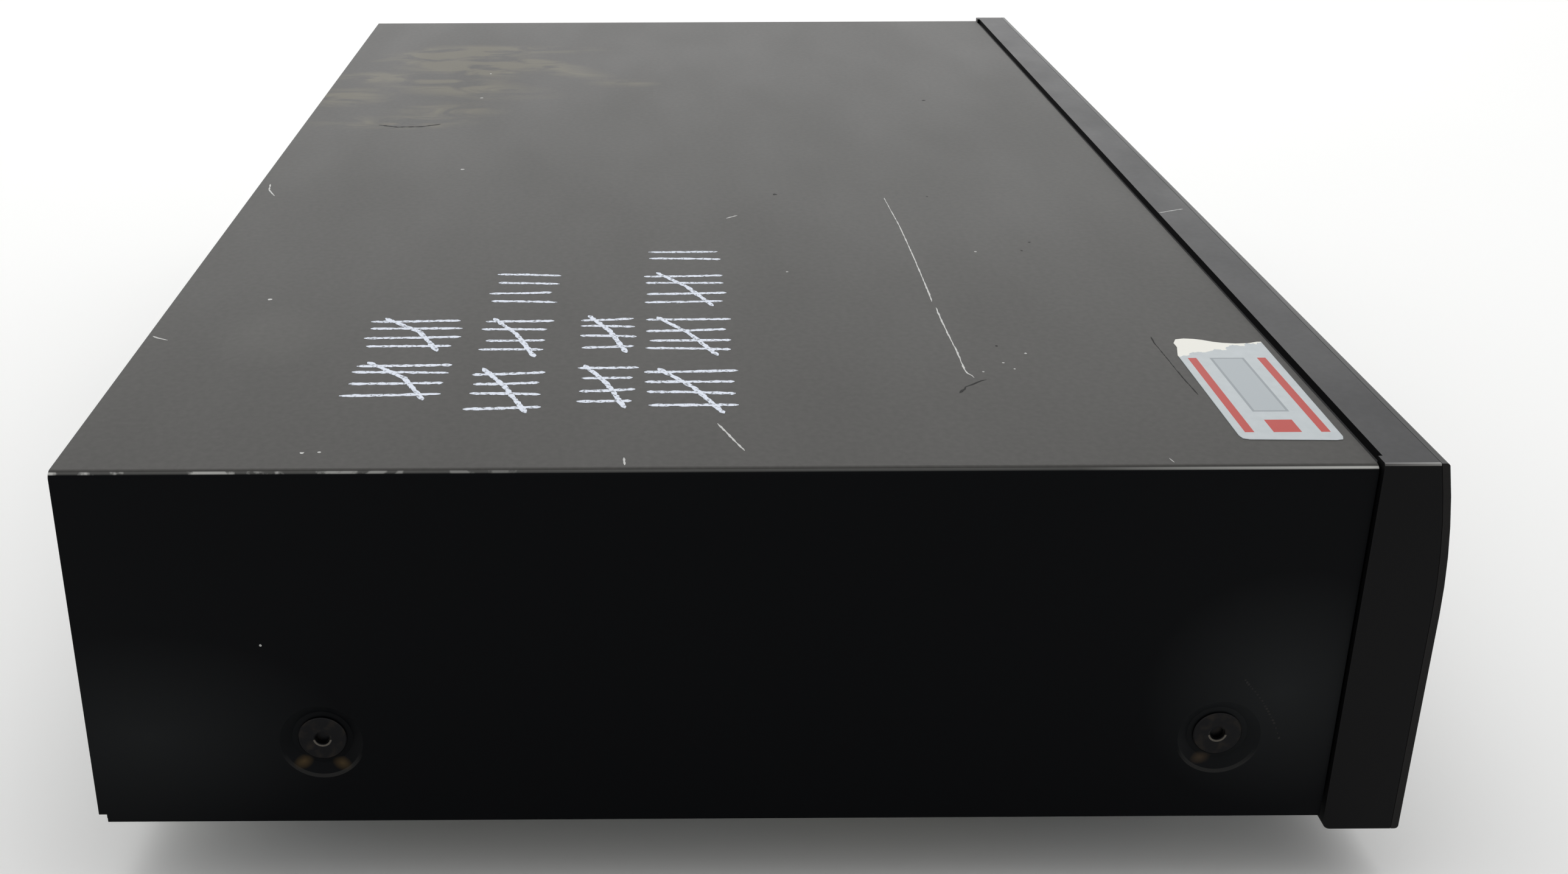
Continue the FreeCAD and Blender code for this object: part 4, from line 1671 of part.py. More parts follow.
def screw(name, axis, way, seat, length, **centre):
    """A pan-head screw whose head sits at seat and whose shank goes the given way from it."""
    if way < 0:
        head_ends = (seat, f"{seat} + screw_head_thick")
        shank_ends = (f"{seat} - {length}", f"{seat} + 0.5")
    else:
        head_ends = (f"{seat} - screw_head_thick", seat)
        shank_ends = (f"{seat} - 0.5", f"{seat} + {length}")
    head = round_bar(name + "_head", axis, "screw_head", head_ends, **centre)
    shank = round_bar(name + "_shank", axis, "screw_radius", shank_ends, **centre)
    return fuse(name, [head, shank])


def make_screws():
    inside = []
    for board, stands in STANDS.items():
        for place, (across, back) in enumerate(stands):
            inside.append(screw(f"screw_{board}_{place}", "z", -1, "board_top_z", "board_screw_length",
                                x=across, y=back))
    for name, (across, back) in FEET.items():
        inside.append(screw("screw_foot_" + name, "z", 1, "foot_well_z", "foot_screw_length",
                            x=across, y=back))
    for place in (-1, 0, 1):
        inside.append(screw(f"screw_tab_{place + 2}", "z", 1, "under_z - 2.5", "short_screw_length",
                            x=f"{place} * tab_spread", y="seam_y + tab_reach / 2"))
    for side, sign in (("left", "-"), ("right", "")):
        for place, start in enumerate(EAR_STARTS):
            inside.append(screw(f"screw_ear_{side}_{place}", "z", -1, "ear_z + ear_thick",
                                "short_screw_length", x=f"{sign}ear_hole_x", y=f"{start} + ear_width / 2"))
        for row, rise in enumerate(FRONT_SCREW_RISES):
            inside.append(screw(f"screw_front_board_{side}_{row}", "y", -1, "board_front_y + board_thick",
                                "short_screw_length", x=f"{sign}front_screw_across",
                                z=f"front_board_low_z + {rise}"))
    node("chassis_screws", group("chassis_screw_set", inside))
    bushes = [screw(f"screw_bush_{side}_{end}", "z", -1, "traverse_low_z + 3 + bush_height",
                    "bush_screw_length", x=f"{sign}bush_across", y=f"bush_{end}_y")
              for side, sign in (("left", "-"), ("right", "")) for end in ("front", "rear")]
    node("bush_screws", group("bush_screw_set", bushes))
    outside = []
    for side, sign in (("left", "-"), ("right", "")):
        seat = f"{sign}(side_x - dimple_depth)"
        if side == "left":
            head_ends = (f"{seat} - cover_head_thick", seat)
            shank_ends = (f"{seat} - 0.5", f"{seat} + cover_screw_length")
            radii = ("cover_head_top_radius", "cover_head_radius")
        else:
            head_ends = (seat, f"{seat} + cover_head_thick")
            shank_ends = (f"{seat} - cover_screw_length", f"{seat} + 0.5")
            radii = ("cover_head_radius", "cover_head_top_radius")
        for end in ("front", "rear"):
            name, centre = f"cover_screw_{side}_{end}", {"y": f"seam_y + dimple_{end}", "z": "screw_seat_z"}
            head = cone(name + "_head", "x", *radii, head_ends, **centre)
            shank = round_bar(name + "_shank", "x", "screw_radius", shank_ends, **centre)
            outside.append(fuse(name, [head, shank]))
    for place in (-1, 0, 1):
        outside.append(screw(f"lip_screw_{place + 2}", "y", -1, "cover_rear_y", "cover_screw_length",
                             x=f"{place} * lip_screw_spread", z="lip_screw_z"))
    node("cover_screws", group("cover_screw_set", outside))


def flat_cable(name, across, points):
    """A flat cable that stands on edge-on straight runs; each point is a place along Y and a height."""
    width, thick = number("cable_width"), number("cable_thick")
    path = [FreeCAD.Vector(across - width / 2, back, up) for back, up in points]
    runs = []
    for start, end in zip(path, path[1:]):
        way = (end - start).normalize()
        side = FreeCAD.Vector(0, -way.z, way.y) * (thick / 2)
        reach = way * (thick / 2)
        corners = [start - reach + side, end + reach + side, end + reach - side, start - reach - side]
        face = Part.Face(Part.makePolygon(corners + corners[:1]))
        runs.append(face.extrude(FreeCAD.Vector(width, 0, 0)))
    item = doc.addObject("Part::Feature", name + "_strip")
    item.Shape = runs[0].multiFuse(runs[1:]).removeSplitter()
    return item


def make_cables():
    """Cables from the front board and from the loader, each to its plug on the main board."""
    low, plug_y, plug_z = number("floor_z + cable_floor_gap"), number("plug_y"), number("plug_z")
    front, half = number("board_front_y + board_thick"), number("cable_thick") / 2
    high, step = number("front_board_low_z + front_cable_rise"), number("floor_z + front_cable_step")
    out, down = front + number("front_cable_out"), front + number("front_cable_back")
    rise_y = number("main_front_y - cable_bend")
    node("front_flat_cable", flat_cable("front_cable", number("front_cable_across"), [
        (front + half, high), (out, high), (out, step), (down, step),
        (down, low), (rise_y, low), (rise_y, plug_z), (plug_y, plug_z)]))
    rear, start = number("loader_rear_y"), number("floor_z + loader_cable_rise")
    fall_y = number("loader_rear_y + cable_bend")
    node("loader_flat_cable", flat_cable("loader_cable", -number("loader_cable_across"), [
        (rear + half, start), (fall_y, start), (fall_y, plug_z), (plug_y, plug_z)]))


def make_all():
    make_top_cover()
    make_base_chassis()
    make_rear_panel()
    make_fascia_frame()
    make_front_plate()
    make_display()
    make_front_board()
    make_switches()
    make_keys()
    make_usb_socket()
    make_disc_tray()
    make_tray_door()
    make_tray_gears()
    make_motor()
    make_belt()
    make_loader_frame()
    make_loader_brackets()
    make_clamp_bridge()
    make_clamper()
    make_spindle()
    make_traverse()
    make_cam_slider()
    make_deck_plate()
    make_bushes()
    make_sled()
    make_pickup()
    make_boards()
    node("heat_sinks", group("heat_sink_pair", [make_supply_parts(), make_main_parts()]))
    make_audio_parts()
    make_jacks()
    make_hdmi_socket()
    make_lan_socket()
    make_mains_inlet()
    make_feet()
    make_screws()
    make_cables()


def check_and_write():
    doc.recompute()
    failed = [item.Label for item in doc.Objects if {"Invalid", "Error"} & set(item.State)]
    if failed:
        raise RuntimeError("these objects failed: " + ", ".join(failed))
    os.makedirs("parts", exist_ok=True)
    for name, item in NODES.items():
        shape = item.Shape
        if shape.isNull() or not shape.isValid() or not shape.Solids:
            raise RuntimeError("this piece has no sound solid: " + name)
        shape.exportStep(os.path.join("parts", name + ".step"))
    print(len(NODES), "pieces written")


make_all()
check_and_write()
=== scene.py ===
import math
import random

import bmesh
import bpy
from mathutils import Matrix, Vector


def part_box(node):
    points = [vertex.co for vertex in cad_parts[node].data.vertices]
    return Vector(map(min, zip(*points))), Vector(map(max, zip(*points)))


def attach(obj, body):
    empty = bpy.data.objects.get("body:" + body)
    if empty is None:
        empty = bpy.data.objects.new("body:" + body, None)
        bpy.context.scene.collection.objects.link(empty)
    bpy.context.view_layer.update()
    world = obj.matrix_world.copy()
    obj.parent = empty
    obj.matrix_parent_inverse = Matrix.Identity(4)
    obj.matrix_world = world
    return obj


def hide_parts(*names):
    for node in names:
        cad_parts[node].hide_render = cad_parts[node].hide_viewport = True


# A used full-width disc player: a steel cover in satin black enamel with dished screw seats, a moulded
# black fascia, a torn label and pencilled tally strokes on top, and its gears, boards and sockets.
# Everything is in metres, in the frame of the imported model: +Z up, the front along -Y, and +X to the
# right of someone who faces the front. Sizes are written in millimetres and turned to metres by MM.

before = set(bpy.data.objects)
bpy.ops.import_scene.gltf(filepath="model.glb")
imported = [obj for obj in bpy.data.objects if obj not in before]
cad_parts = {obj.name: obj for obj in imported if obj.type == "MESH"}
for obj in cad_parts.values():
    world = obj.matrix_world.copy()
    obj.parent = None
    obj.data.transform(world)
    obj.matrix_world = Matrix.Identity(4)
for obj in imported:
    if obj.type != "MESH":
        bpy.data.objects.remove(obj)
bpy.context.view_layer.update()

MM = 0.001
rng = random.Random(7)

# Corners to measure other places from
COVER_LOW, COVER_HIGH = ([part / MM for part in corner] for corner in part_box("top_cover"))
TOP_Z, SIDE_X = COVER_HIGH[2], COVER_HIGH[0]
SEAM_Y, COVER_REAR_Y = COVER_LOW[1], COVER_HIGH[1]
FASCIA_SIDE_X, FASCIA_TOP_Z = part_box("fascia_frame")[1][0] / MM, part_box("fascia_frame")[1][2] / MM

# The side screws' dished seats: height of their middles, depth, radius, and places along Y
SEAT_Z, SEAT_DEPTH, SEAT_RADIUS = 38.5, 1.6, 9.0
SEAT_PLACES = (SEAM_Y + 24.8, SEAM_Y + 219.5)

# The rear's round sockets: the panel's face, and the columns and rows of their middles
PANEL_Y = 138.4
JACK_COLUMNS, LOW_ROW, HIGH_ROW = (126, 146, 166, 186), 40.1, 60.1
DIGITAL_JACK_X = 62

# Nearly all of a noise's values lie between these two
NOISE_SPAN = (0.3, 0.7)
# The sockets of a colour mix, by their place: how much, and the colours it goes between
AMOUNT, FROM, TO = 0, 6, 7


# Finishes

def linear(colour):
    """An sRGB hex colour as linear red, green, blue and alpha."""
    parts = [int(colour[i:i + 2], 16) / 255 for i in (1, 3, 5)]
    return [p / 12.92 if p <= 0.04045 else ((p + 0.055) / 1.055) ** 2.4 for p in parts] + [1.0]


def add(tree, kind, sockets=(), **settings):
    """A node with these settings and sockets, each a value, a hex colour or what is linked to it.
    It gives back its first output in use."""
    made = tree.nodes.new(kind)
    for name, value in settings.items():
        setattr(made, name, value)
    for place, value in sockets.items() if isinstance(sockets, dict) else enumerate(sockets):
        if isinstance(value, bpy.types.NodeSocket):
            tree.links.new(value, made.inputs[place])
        else:
            made.inputs[place].default_value = linear(value) if isinstance(value, str) else value
    return next((output for output in made.outputs if output.enabled), None)


def surface_inputs(made):
    """The input sockets of a material's surface shader."""
    return made.node_tree.nodes["Principled BSDF"].inputs


def finish(name, **values):
    """A new material whose surface has these constant values, and its node tree."""
    made = bpy.data.materials.new(name)
    made.use_nodes = True
    for socket, value in values.items():
        surface_inputs(made)[socket.replace("_", " ")].default_value = value
    return made, made.node_tree


def lead(made, **sources):
    """The material, with worked-out values led into its surface."""
    for socket, source in sources.items():
        made.node_tree.links.new(source, surface_inputs(made)[socket.replace("_", " ")])
    return made


def at_scale(tree, millimetres, stretch=(1, 1, 1)):
    """The place on the object counted in steps of a real size, longer along the axes that stretch."""
    place = add(tree, "ShaderNodeTexCoord").node.outputs["Object"]
    return add(tree, "ShaderNodeMapping",
               {"Vector": place, "Scale": [1 / (millimetres * MM * part) for part in stretch]})


def patch(tree, middle, reach, turn=0):
    """1 at the middle of an oval on the object, falling to 0 at its reach; millimetres and degrees."""
    place = add(tree, "ShaderNodeTexCoord").node.outputs["Object"]
    oval = add(tree, "ShaderNodeMapping",
               {"Vector": place, "Location": [part * MM for part in middle],
                "Rotation": (0, 0, math.radians(turn)), "Scale": [part * MM for part in reach]},
               vector_type="TEXTURE")
    return add(tree, "ShaderNodeTexGradient", [oval], gradient_type="SPHERICAL").node.outputs["Fac"]


def along_axes(tree):
    """The place on the object along X, Y and Z."""
    place = add(tree, "ShaderNodeTexCoord").node.outputs["Object"]
    return add(tree, "ShaderNodeSeparateXYZ", [place]).node.outputs


def bend_line(tree, x, z, corner, begins, full):
    """1 along the bend that rounds off the corner where |x| + z is greatest; it begins and is full
    so many millimetres short of that corner."""
    outward = add(tree, "ShaderNodeMath", [x], operation="ABSOLUTE")
    ridge = add(tree, "ShaderNodeMath", [outward, z], operation="ADD")
    return add(tree, "ShaderNodeMapRange", [ridge, (corner - begins) * MM, (corner - full) * MM, 0.0, 1.0])


def dust_and_sheen_on_top(tree, clean, dust_and_sheen):
    """A colour greyed where the surface faces up, by dust and by a painted sheen that stands in for the
    light upward faces catch, and clean elsewhere.
    """
    normal = add(tree, "ShaderNodeNewGeometry").node.outputs["Normal"]
    upward = add(tree, "ShaderNodeSeparateXYZ", [normal]).node.outputs["Z"]
    film = add(tree, "ShaderNodeMapRange", [upward, 0.6, 0.98, 0.0, 1.0])
    speckle = add(tree, "ShaderNodeTexNoise", {"Vector": at_scale(tree, 1.6), "Scale": 1, "Detail": 2})
    uneven = add(tree, "ShaderNodeMapRange", [speckle, *NOISE_SPAN, 0.86, 1.0])
    amount = add(tree, "ShaderNodeMath", [film, uneven], operation="MULTIPLY")
    return add(tree, "ShaderNodeMix", {AMOUNT: amount, FROM: clean, TO: dust_and_sheen}, data_type="RGBA")


# Ovals of the dried spill on the cover: middle, reach, turn in degrees, and how thick it lies
SPILL = (((144, 106), (22, 27), 0, 1.2), ((135, 77), (20, 28), 0, 1.2), ((158, 94), (15, 30), 0, 1.0),
         ((126, 88), (26, 26), 0, 1.0), ((84, 131), (16, 20), 0, 1.3), ((115, 124), (10, 20), 0, 1.1),
         ((48, 108), (11, 34), 0, 1.1), ((161, 71), (9, 40), 0, 1.0), ((127, 53), (11, 30), -36, 1.0),
         ((103.6, 27), (8, 16), 0, 0.8), ((98, 91), (18, 46), -21, 0.9), ((64, 92), (14, 26), 0, 0.8))

# A patch of the top wiped paler: middle, reach and turn in degrees
WIPED = ((-146, 108), (21, 17), 20)

# How far the ovals on the top reach down, and a reach so long that a spot is the same on both sides
OVAL_DROP, BOTH_SIDES = 100, 1e5

# Painted reflections on the sides: place along and up, reach, colour, and how strong; the first two are
# paler patches low on the sides, the last three brown glints low in the screw seats
SIDE_REFLECTIONS = ((-118, 50, (30, 30), "#232526", 0.8), (126, 40, (44, 26), "#1e2021", 0.8),
               (93.4, 32.6, (2.2, 1.5), "#55462f", 0.8), (85.0, 32.2, (2.4, 1.4), "#55462f", 0.7),
               (-102.6, 32.3, (2.6, 1.3), "#4c4032", 0.7))


def stained(tree, tone):
    """The top's colour under the dried spill's streaks and the wiped patch."""
    spill = 0.0
    for middle, reach, turn, depth in SPILL:
        oval = patch(tree, (*middle, TOP_Z), (*reach, OVAL_DROP), turn)
        spill = add(tree, "ShaderNodeMath", [oval, depth, spill], operation="MULTIPLY_ADD")
    streaks = add(tree, "ShaderNodeTexNoise", {"Vector": at_scale(tree, 10, (1, 2.2, 1)), "Scale": 1,
                                               "Detail": 6, "Distortion": 1.0})
    dried = add(tree, "ShaderNodeMapRange", [streaks, 0.38, 0.62, 0.0, 1.7])
    stain = add(tree, "ShaderNodeMath", [spill, dried], operation="MULTIPLY", use_clamp=True)
    thin = add(tree, "ShaderNodeMath", [stain, 0.75], operation="MULTIPLY")
    tone = add(tree, "ShaderNodeMix", {AMOUNT: thin, FROM: tone, TO: "#686457"}, data_type="RGBA")
    middle, reach, turn = WIPED
    oval = patch(tree, (*middle, TOP_Z), (*reach, OVAL_DROP), turn)
    wiped = add(tree, "ShaderNodeMapRange", [oval, 0.0, 0.6, 0.0, 0.06])
    return add(tree, "ShaderNodeMix", {AMOUNT: wiped, FROM: tone, TO: "#8a8984"}, data_type="RGBA")


def rubbed_and_highlit_bends(tree, tone, y, line):
    """The colour with a pale line along its bends, partly rubbed-through metal and partly a painted
    highlight, at the front end and in patches at the rear.
    """
    front_end = add(tree, "ShaderNodeMapRange", [y, -70 * MM, SEAM_Y * MM, 0.12, 0.95])
    chips = add(tree, "ShaderNodeTexNoise", {"Vector": at_scale(tree, 5), "Scale": 1, "Detail": 5})
    patchy = add(tree, "ShaderNodeMapRange", [chips, 0.52, 0.6, 0.0, 1.0])
    rear_end = add(tree, "ShaderNodeMapRange", [y, 20 * MM, COVER_REAR_Y * MM, 0.1, 1.0])
    nicks = add(tree, "ShaderNodeMath", [patchy, rear_end], operation="MULTIPLY")
    rub_and_highlight = add(tree, "ShaderNodeMath", [front_end, nicks], operation="MAXIMUM")
    # The pale line, #cfcfcb, is partly rubbed metal and partly a painted highlight
    worn = add(tree, "ShaderNodeMath", [line, rub_and_highlight], operation="MULTIPLY")
    return add(tree, "ShaderNodeMix", {AMOUNT: worn, FROM: tone, TO: "#cfcfcb"}, data_type="RGBA")


def seat_highlights_and_side_reflections(tree, tone, z):
    """The colour with a painted highlight along the screw seats' lower rims and painted reflections on the
    sides: paler patches and brown glints.
    """
    # The lower half of each seat's rim gets a painted highlight, #4b4a48
    low = add(tree, "ShaderNodeMapRange", [z, (SEAT_Z - 7) * MM, (SEAT_Z - 3) * MM, 0.3, 0.0])
    for seat_y in SEAT_PLACES:
        oval = patch(tree, (0, seat_y, SEAT_Z), (BOTH_SIDES, 2 * SEAT_RADIUS, 2 * SEAT_RADIUS))
        # The oval is 0.5 at one seat radius, which is where the rim runs.
        ring = add(tree, "ShaderNodeMath", [oval, 0.5, 0.022], operation="COMPARE")
        rim = add(tree, "ShaderNodeMath", [ring, low], operation="MULTIPLY")
        tone = add(tree, "ShaderNodeMix", {AMOUNT: rim, FROM: tone, TO: "#4b4a48"}, data_type="RGBA")
    # Painted reflections: paler patches low on the sides and brown glints in the seats
    for y_place, z_place, reach, colour, depth in SIDE_REFLECTIONS:
        oval = patch(tree, (0, y_place, z_place), (BOTH_SIDES, *reach))
        bloom = add(tree, "ShaderNodeMath", [oval, depth], operation="MULTIPLY")
        tone = add(tree, "ShaderNodeMix", {AMOUNT: bloom, FROM: tone, TO: colour}, data_type="RGBA")
    return tone


def baked_enamel():
    # Satin enamel sprayed on steel sheet and baked: near black, its sheen softened by orange peel.
    # Dust and a painted sheen grey it evenly on top, a dried spill leaves yellowish streaks at the rear,
    # and a pale line along the bends is partly rubbed metal and partly a painted highlight, most of all
    # at their front ends and in patches near the rear. On the sides, the seats' lower rims carry a
    # painted highlight, and paler patches and brown glints are painted reflections.
    made, tree = finish("baked_satin_enamel", IOR=1.5, Specular_IOR_Level=0.05)
    x, y, z = along_axes(tree)
    # The top's grey, #4e4d4b, is dust and painted sheen
    tone = stained(tree, dust_and_sheen_on_top(tree, "#050608", "#4e4d4b"))
    tone = rubbed_and_highlit_bends(tree, tone, y, bend_line(tree, x, z, SIDE_X + TOP_Z, begins=0.95, full=0.89))
    tone = seat_highlights_and_side_reflections(tree, tone, z)
    smears = add(tree, "ShaderNodeTexNoise", {"Vector": at_scale(tree, 34, (2.5, 1, 1)), "Scale": 1,
                                              "Detail": 4})
    rough = add(tree, "ShaderNodeMapRange", [smears, *NOISE_SPAN, 0.40, 0.45])
    # The orange peel is about 0.4 mm across; 0.9 mm is the finest that shows here.
    peel = add(tree, "ShaderNodeTexNoise", {"Vector": at_scale(tree, 0.9), "Scale": 1, "Detail": 2})
    relief = add(tree, "ShaderNodeBump", {"Strength": 0.3, "Distance": 0.012 * MM, "Height": peel})
    return lead(made, Base_Color=tone, Roughness=rough, Normal=relief)


def spark_grained_abs():
    # ABS moulded in a spark-eroded tool: matt black with a fine even grain, grey on its top with dust and
    # a painted sheen, and a painted highlight along its front top edge.
    made, tree = finish("spark_grained_black_abs", IOR=1.49, Specular_IOR_Level=0.08)
    tone = dust_and_sheen_on_top(tree, "#0b0b0c", "#434344")
    x, y, z = along_axes(tree)
    # A painted highlight along the front top edge, #a9a8a6, strongest towards the front
    line = bend_line(tree, x, z, FASCIA_SIDE_X + FASCIA_TOP_Z, begins=0.52, full=0.48)
    front_end = add(tree, "ShaderNodeMapRange", [y, SEAM_Y * MM, (SEAM_Y - 14) * MM, 0.25, 0.8])
    worn = add(tree, "ShaderNodeMath", [line, front_end], operation="MULTIPLY")
    tone = add(tree, "ShaderNodeMix", {AMOUNT: worn, FROM: tone, TO: "#a9a8a6"}, data_type="RGBA")
    drift = add(tree, "ShaderNodeTexNoise", {"Vector": at_scale(tree, 22), "Scale": 1, "Detail": 4})
    rough = add(tree, "ShaderNodeMapRange", [drift, *NOISE_SPAN, 0.39, 0.46])
    # The spark grain is near 0.1 mm; it is drawn at 0.5 mm so that it shows.
    grain = add(tree, "ShaderNodeTexNoise", {"Vector": at_scale(tree, 0.5), "Scale": 1, "Detail": 2})
    relief = add(tree, "ShaderNodeBump", {"Strength": 0.25, "Distance": 0.008 * MM, "Height": grain})
    return lead(made, Base_Color=tone, Roughness=rough, Normal=relief)


def brushed_black_plate():
    # Aluminium sheet brushed level and anodised black: fine level lines, a tighter sheen than the
    # moulding behind it, and a brownish black; its upward faces are greyed by dust and a painted sheen.
    made, tree = finish("brushed_black_anodised_plate", IOR=1.6, Specular_IOR_Level=0.1, Anisotropic=0.4)
    # The brush lines are near 0.1 mm; they are drawn at 0.5 mm.
    lines = add(tree, "ShaderNodeTexNoise", {"Vector": at_scale(tree, 0.5, (160, 1, 1)), "Scale": 1,
                                             "Detail": 3})
    across = add(tree, "ShaderNodeMapRange", [lines, *NOISE_SPAN, 0.0, 1.0])
    black = add(tree, "ShaderNodeMix", {AMOUNT: across, FROM: "#0d0c0c", TO: "#151312"}, data_type="RGBA")
    # Upward faces greyed by dust and a painted sheen
    tone = dust_and_sheen_on_top(tree, black, "#333333")
    rough = add(tree, "ShaderNodeMapRange", [lines, *NOISE_SPAN, 0.3, 0.42])
    relief = add(tree, "ShaderNodeBump", {"Strength": 0.2, "Distance": 0.006 * MM, "Height": lines})
    return lead(made, Base_Color=tone, Roughness=rough, Normal=relief)


def zinc_plated_sheet():
    # Steel sheet with clear zinc plate: cool silver with a faint straw bloom and long roll marks.
    made, tree = finish("zinc_plated_sheet", Metallic=1.0)
    drift = add(tree, "ShaderNodeTexNoise", {"Vector": at_scale(tree, 30), "Scale": 1, "Detail": 4})
    bloom = add(tree, "ShaderNodeMapRange", [drift, 0.35, 0.7, 0.0, 1.0])
    tone = add(tree, "ShaderNodeMix", {AMOUNT: bloom, FROM: "#a9adb0", TO: "#b9b6a8"}, data_type="RGBA")
    rolled = add(tree, "ShaderNodeTexNoise", {"Vector": at_scale(tree, 0.6, (1, 90, 1)), "Scale": 1,
                                              "Detail": 3})
    rough = add(tree, "ShaderNodeMapRange", [rolled, *NOISE_SPAN, 0.32, 0.46])
    relief = add(tree, "ShaderNodeBump", {"Strength": 0.2, "Distance": 0.004 * MM, "Height": rolled})
    return lead(made, Base_Color=tone, Roughness=rough, Normal=relief)


def sheltered_enamel():
    # The cover's enamel where nothing has touched it: clean, even and black.
    made, tree = finish("clean_satin_enamel", IOR=1.5, Specular_IOR_Level=0.2)
    drift = add(tree, "ShaderNodeTexNoise", {"Vector": at_scale(tree, 30), "Scale": 1, "Detail": 3})
    tone = add(tree, "ShaderNodeMix", {AMOUNT: drift, FROM: "#141416", TO: "#1b1b1d"}, data_type="RGBA")
    rough = add(tree, "ShaderNodeMapRange", [drift, *NOISE_SPAN, 0.4, 0.48])
    peel = add(tree, "ShaderNodeTexNoise", {"Vector": at_scale(tree, 0.9), "Scale": 1, "Detail": 2})
    relief = add(tree, "ShaderNodeBump", {"Strength": 0.3, "Distance": 0.012 * MM, "Height": peel})
    return lead(made, Base_Color=tone, Roughness=rough, Normal=relief)


def turned_metal(name, colour, pale, rough):
    # Bar turned and polished, or turned and plated: bright, with hair-fine rings left by the tool.
    made, tree = finish(name, Metallic=1.0)
    drift = add(tree, "ShaderNodeTexNoise", {"Vector": at_scale(tree, 6), "Scale": 1, "Detail": 3})
    tone = add(tree, "ShaderNodeMix", {AMOUNT: drift, FROM: colour, TO: pale}, data_type="RGBA")
    worn = add(tree, "ShaderNodeMapRange", [drift, *NOISE_SPAN, rough - 0.04, rough + 0.06])
    # Tool rings are a few hundredths of a millimetre apart; they are drawn at 0.25 mm.
    rings = add(tree, "ShaderNodeTexNoise", {"Vector": at_scale(tree, 0.25, (12, 1, 12)), "Scale": 1,
                                             "Detail": 2})
    relief = add(tree, "ShaderNodeBump", {"Strength": 0.2, "Distance": 0.003 * MM, "Height": rings})
    return lead(made, Base_Color=tone, Roughness=worn, Normal=relief)


def moulded(name, dark, light, rough, grit=0.5, height=0.01):
    # Injection-moulded plastic: one colour that drifts slightly, in the fine texture of its tool.
    made, tree = finish(name, IOR=1.49, Specular_IOR_Level=0.3)
    drift = add(tree, "ShaderNodeTexNoise", {"Vector": at_scale(tree, 18), "Scale": 1, "Detail": 3})
    tone = add(tree, "ShaderNodeMix", {AMOUNT: drift, FROM: dark, TO: light}, data_type="RGBA")
    handled = add(tree, "ShaderNodeTexNoise", {"Vector": at_scale(tree, 8), "Scale": 1, "Detail": 3})
    sheen = add(tree, "ShaderNodeMapRange", [handled, *NOISE_SPAN, rough - 0.05, rough + 0.07])
    texture = add(tree, "ShaderNodeTexNoise", {"Vector": at_scale(tree, grit), "Scale": 1, "Detail": 2})
    relief = add(tree, "ShaderNodeBump", {"Strength": 0.3, "Distance": height * MM, "Height": texture})
    return lead(made, Base_Color=tone, Roughness=sheen, Normal=relief)


def smoked_acrylic():
    # Cast acrylic tinted near black: mirror-smooth, so that the dark tube behind only just shows.
    made, tree = finish("smoked_acrylic", IOR=1.49, Transmission_Weight=0.7, Specular_IOR_Level=0.2)
    drift = add(tree, "ShaderNodeTexNoise", {"Vector": at_scale(tree, 60), "Scale": 1, "Detail": 2})
    tone = add(tree, "ShaderNodeMix", {AMOUNT: drift, FROM: "#2b2b2f", TO: "#313136"}, data_type="RGBA")
    wiped = add(tree, "ShaderNodeMapRange", [drift, *NOISE_SPAN, 0.03, 0.07])
    return lead(made, Base_Color=tone, Roughness=wiped)


def tube_glass():
    # The display's vacuum tube: smooth dark green-grey glass over a grey backing.
    made, tree = finish("display_tube_glass", IOR=1.52)
    drift = add(tree, "ShaderNodeTexNoise", {"Vector": at_scale(tree, 25), "Scale": 1, "Detail": 2})
    tone = add(tree, "ShaderNodeMix", {AMOUNT: drift, FROM: "#17201e", TO: "#1d2725"}, data_type="RGBA")
    smooth = add(tree, "ShaderNodeMapRange", [drift, *NOISE_SPAN, 0.05, 0.09])
    return lead(made, Base_Color=tone, Roughness=smooth)


def lacquered_board():
    # Epoxy-glass board under green lacquer: glossy, with buried copper tracks as paler raised lines
    # 2.5 mm apart and tinned pads as bright dots.
    made, tree = finish("green_lacquered_board", IOR=1.52)
    tracks = add(tree, "ShaderNodeTexBrick", {"Vector": at_scale(tree, 10), "Scale": 1, "Mortar Size": 0.03,
                                              "Color1": "#000000", "Color2": "#000000", "Mortar": "#ffffff"})
    raised = tracks.node.outputs["Fac"]
    pads = add(tree, "ShaderNodeTexVoronoi", {"Vector": at_scale(tree, 3.8), "Scale": 1, "Randomness": 0.3})
    tinned = add(tree, "ShaderNodeMath", [pads, 0.16], operation="LESS_THAN")
    green = add(tree, "ShaderNodeMix", {AMOUNT: raised, FROM: "#1d5a35", TO: "#2f7a48"}, data_type="RGBA")
    tone = add(tree, "ShaderNodeMix", {AMOUNT: tinned, FROM: green, TO: "#a9aba6"}, data_type="RGBA")
    rough = add(tree, "ShaderNodeMapRange", [tinned, 0.0, 1.0, 0.28, 0.4])
    relief = add(tree, "ShaderNodeBump", {"Strength": 0.5, "Distance": 0.035 * MM, "Height": raised})
    return lead(made, Base_Color=tone, Roughness=rough, Normal=relief)


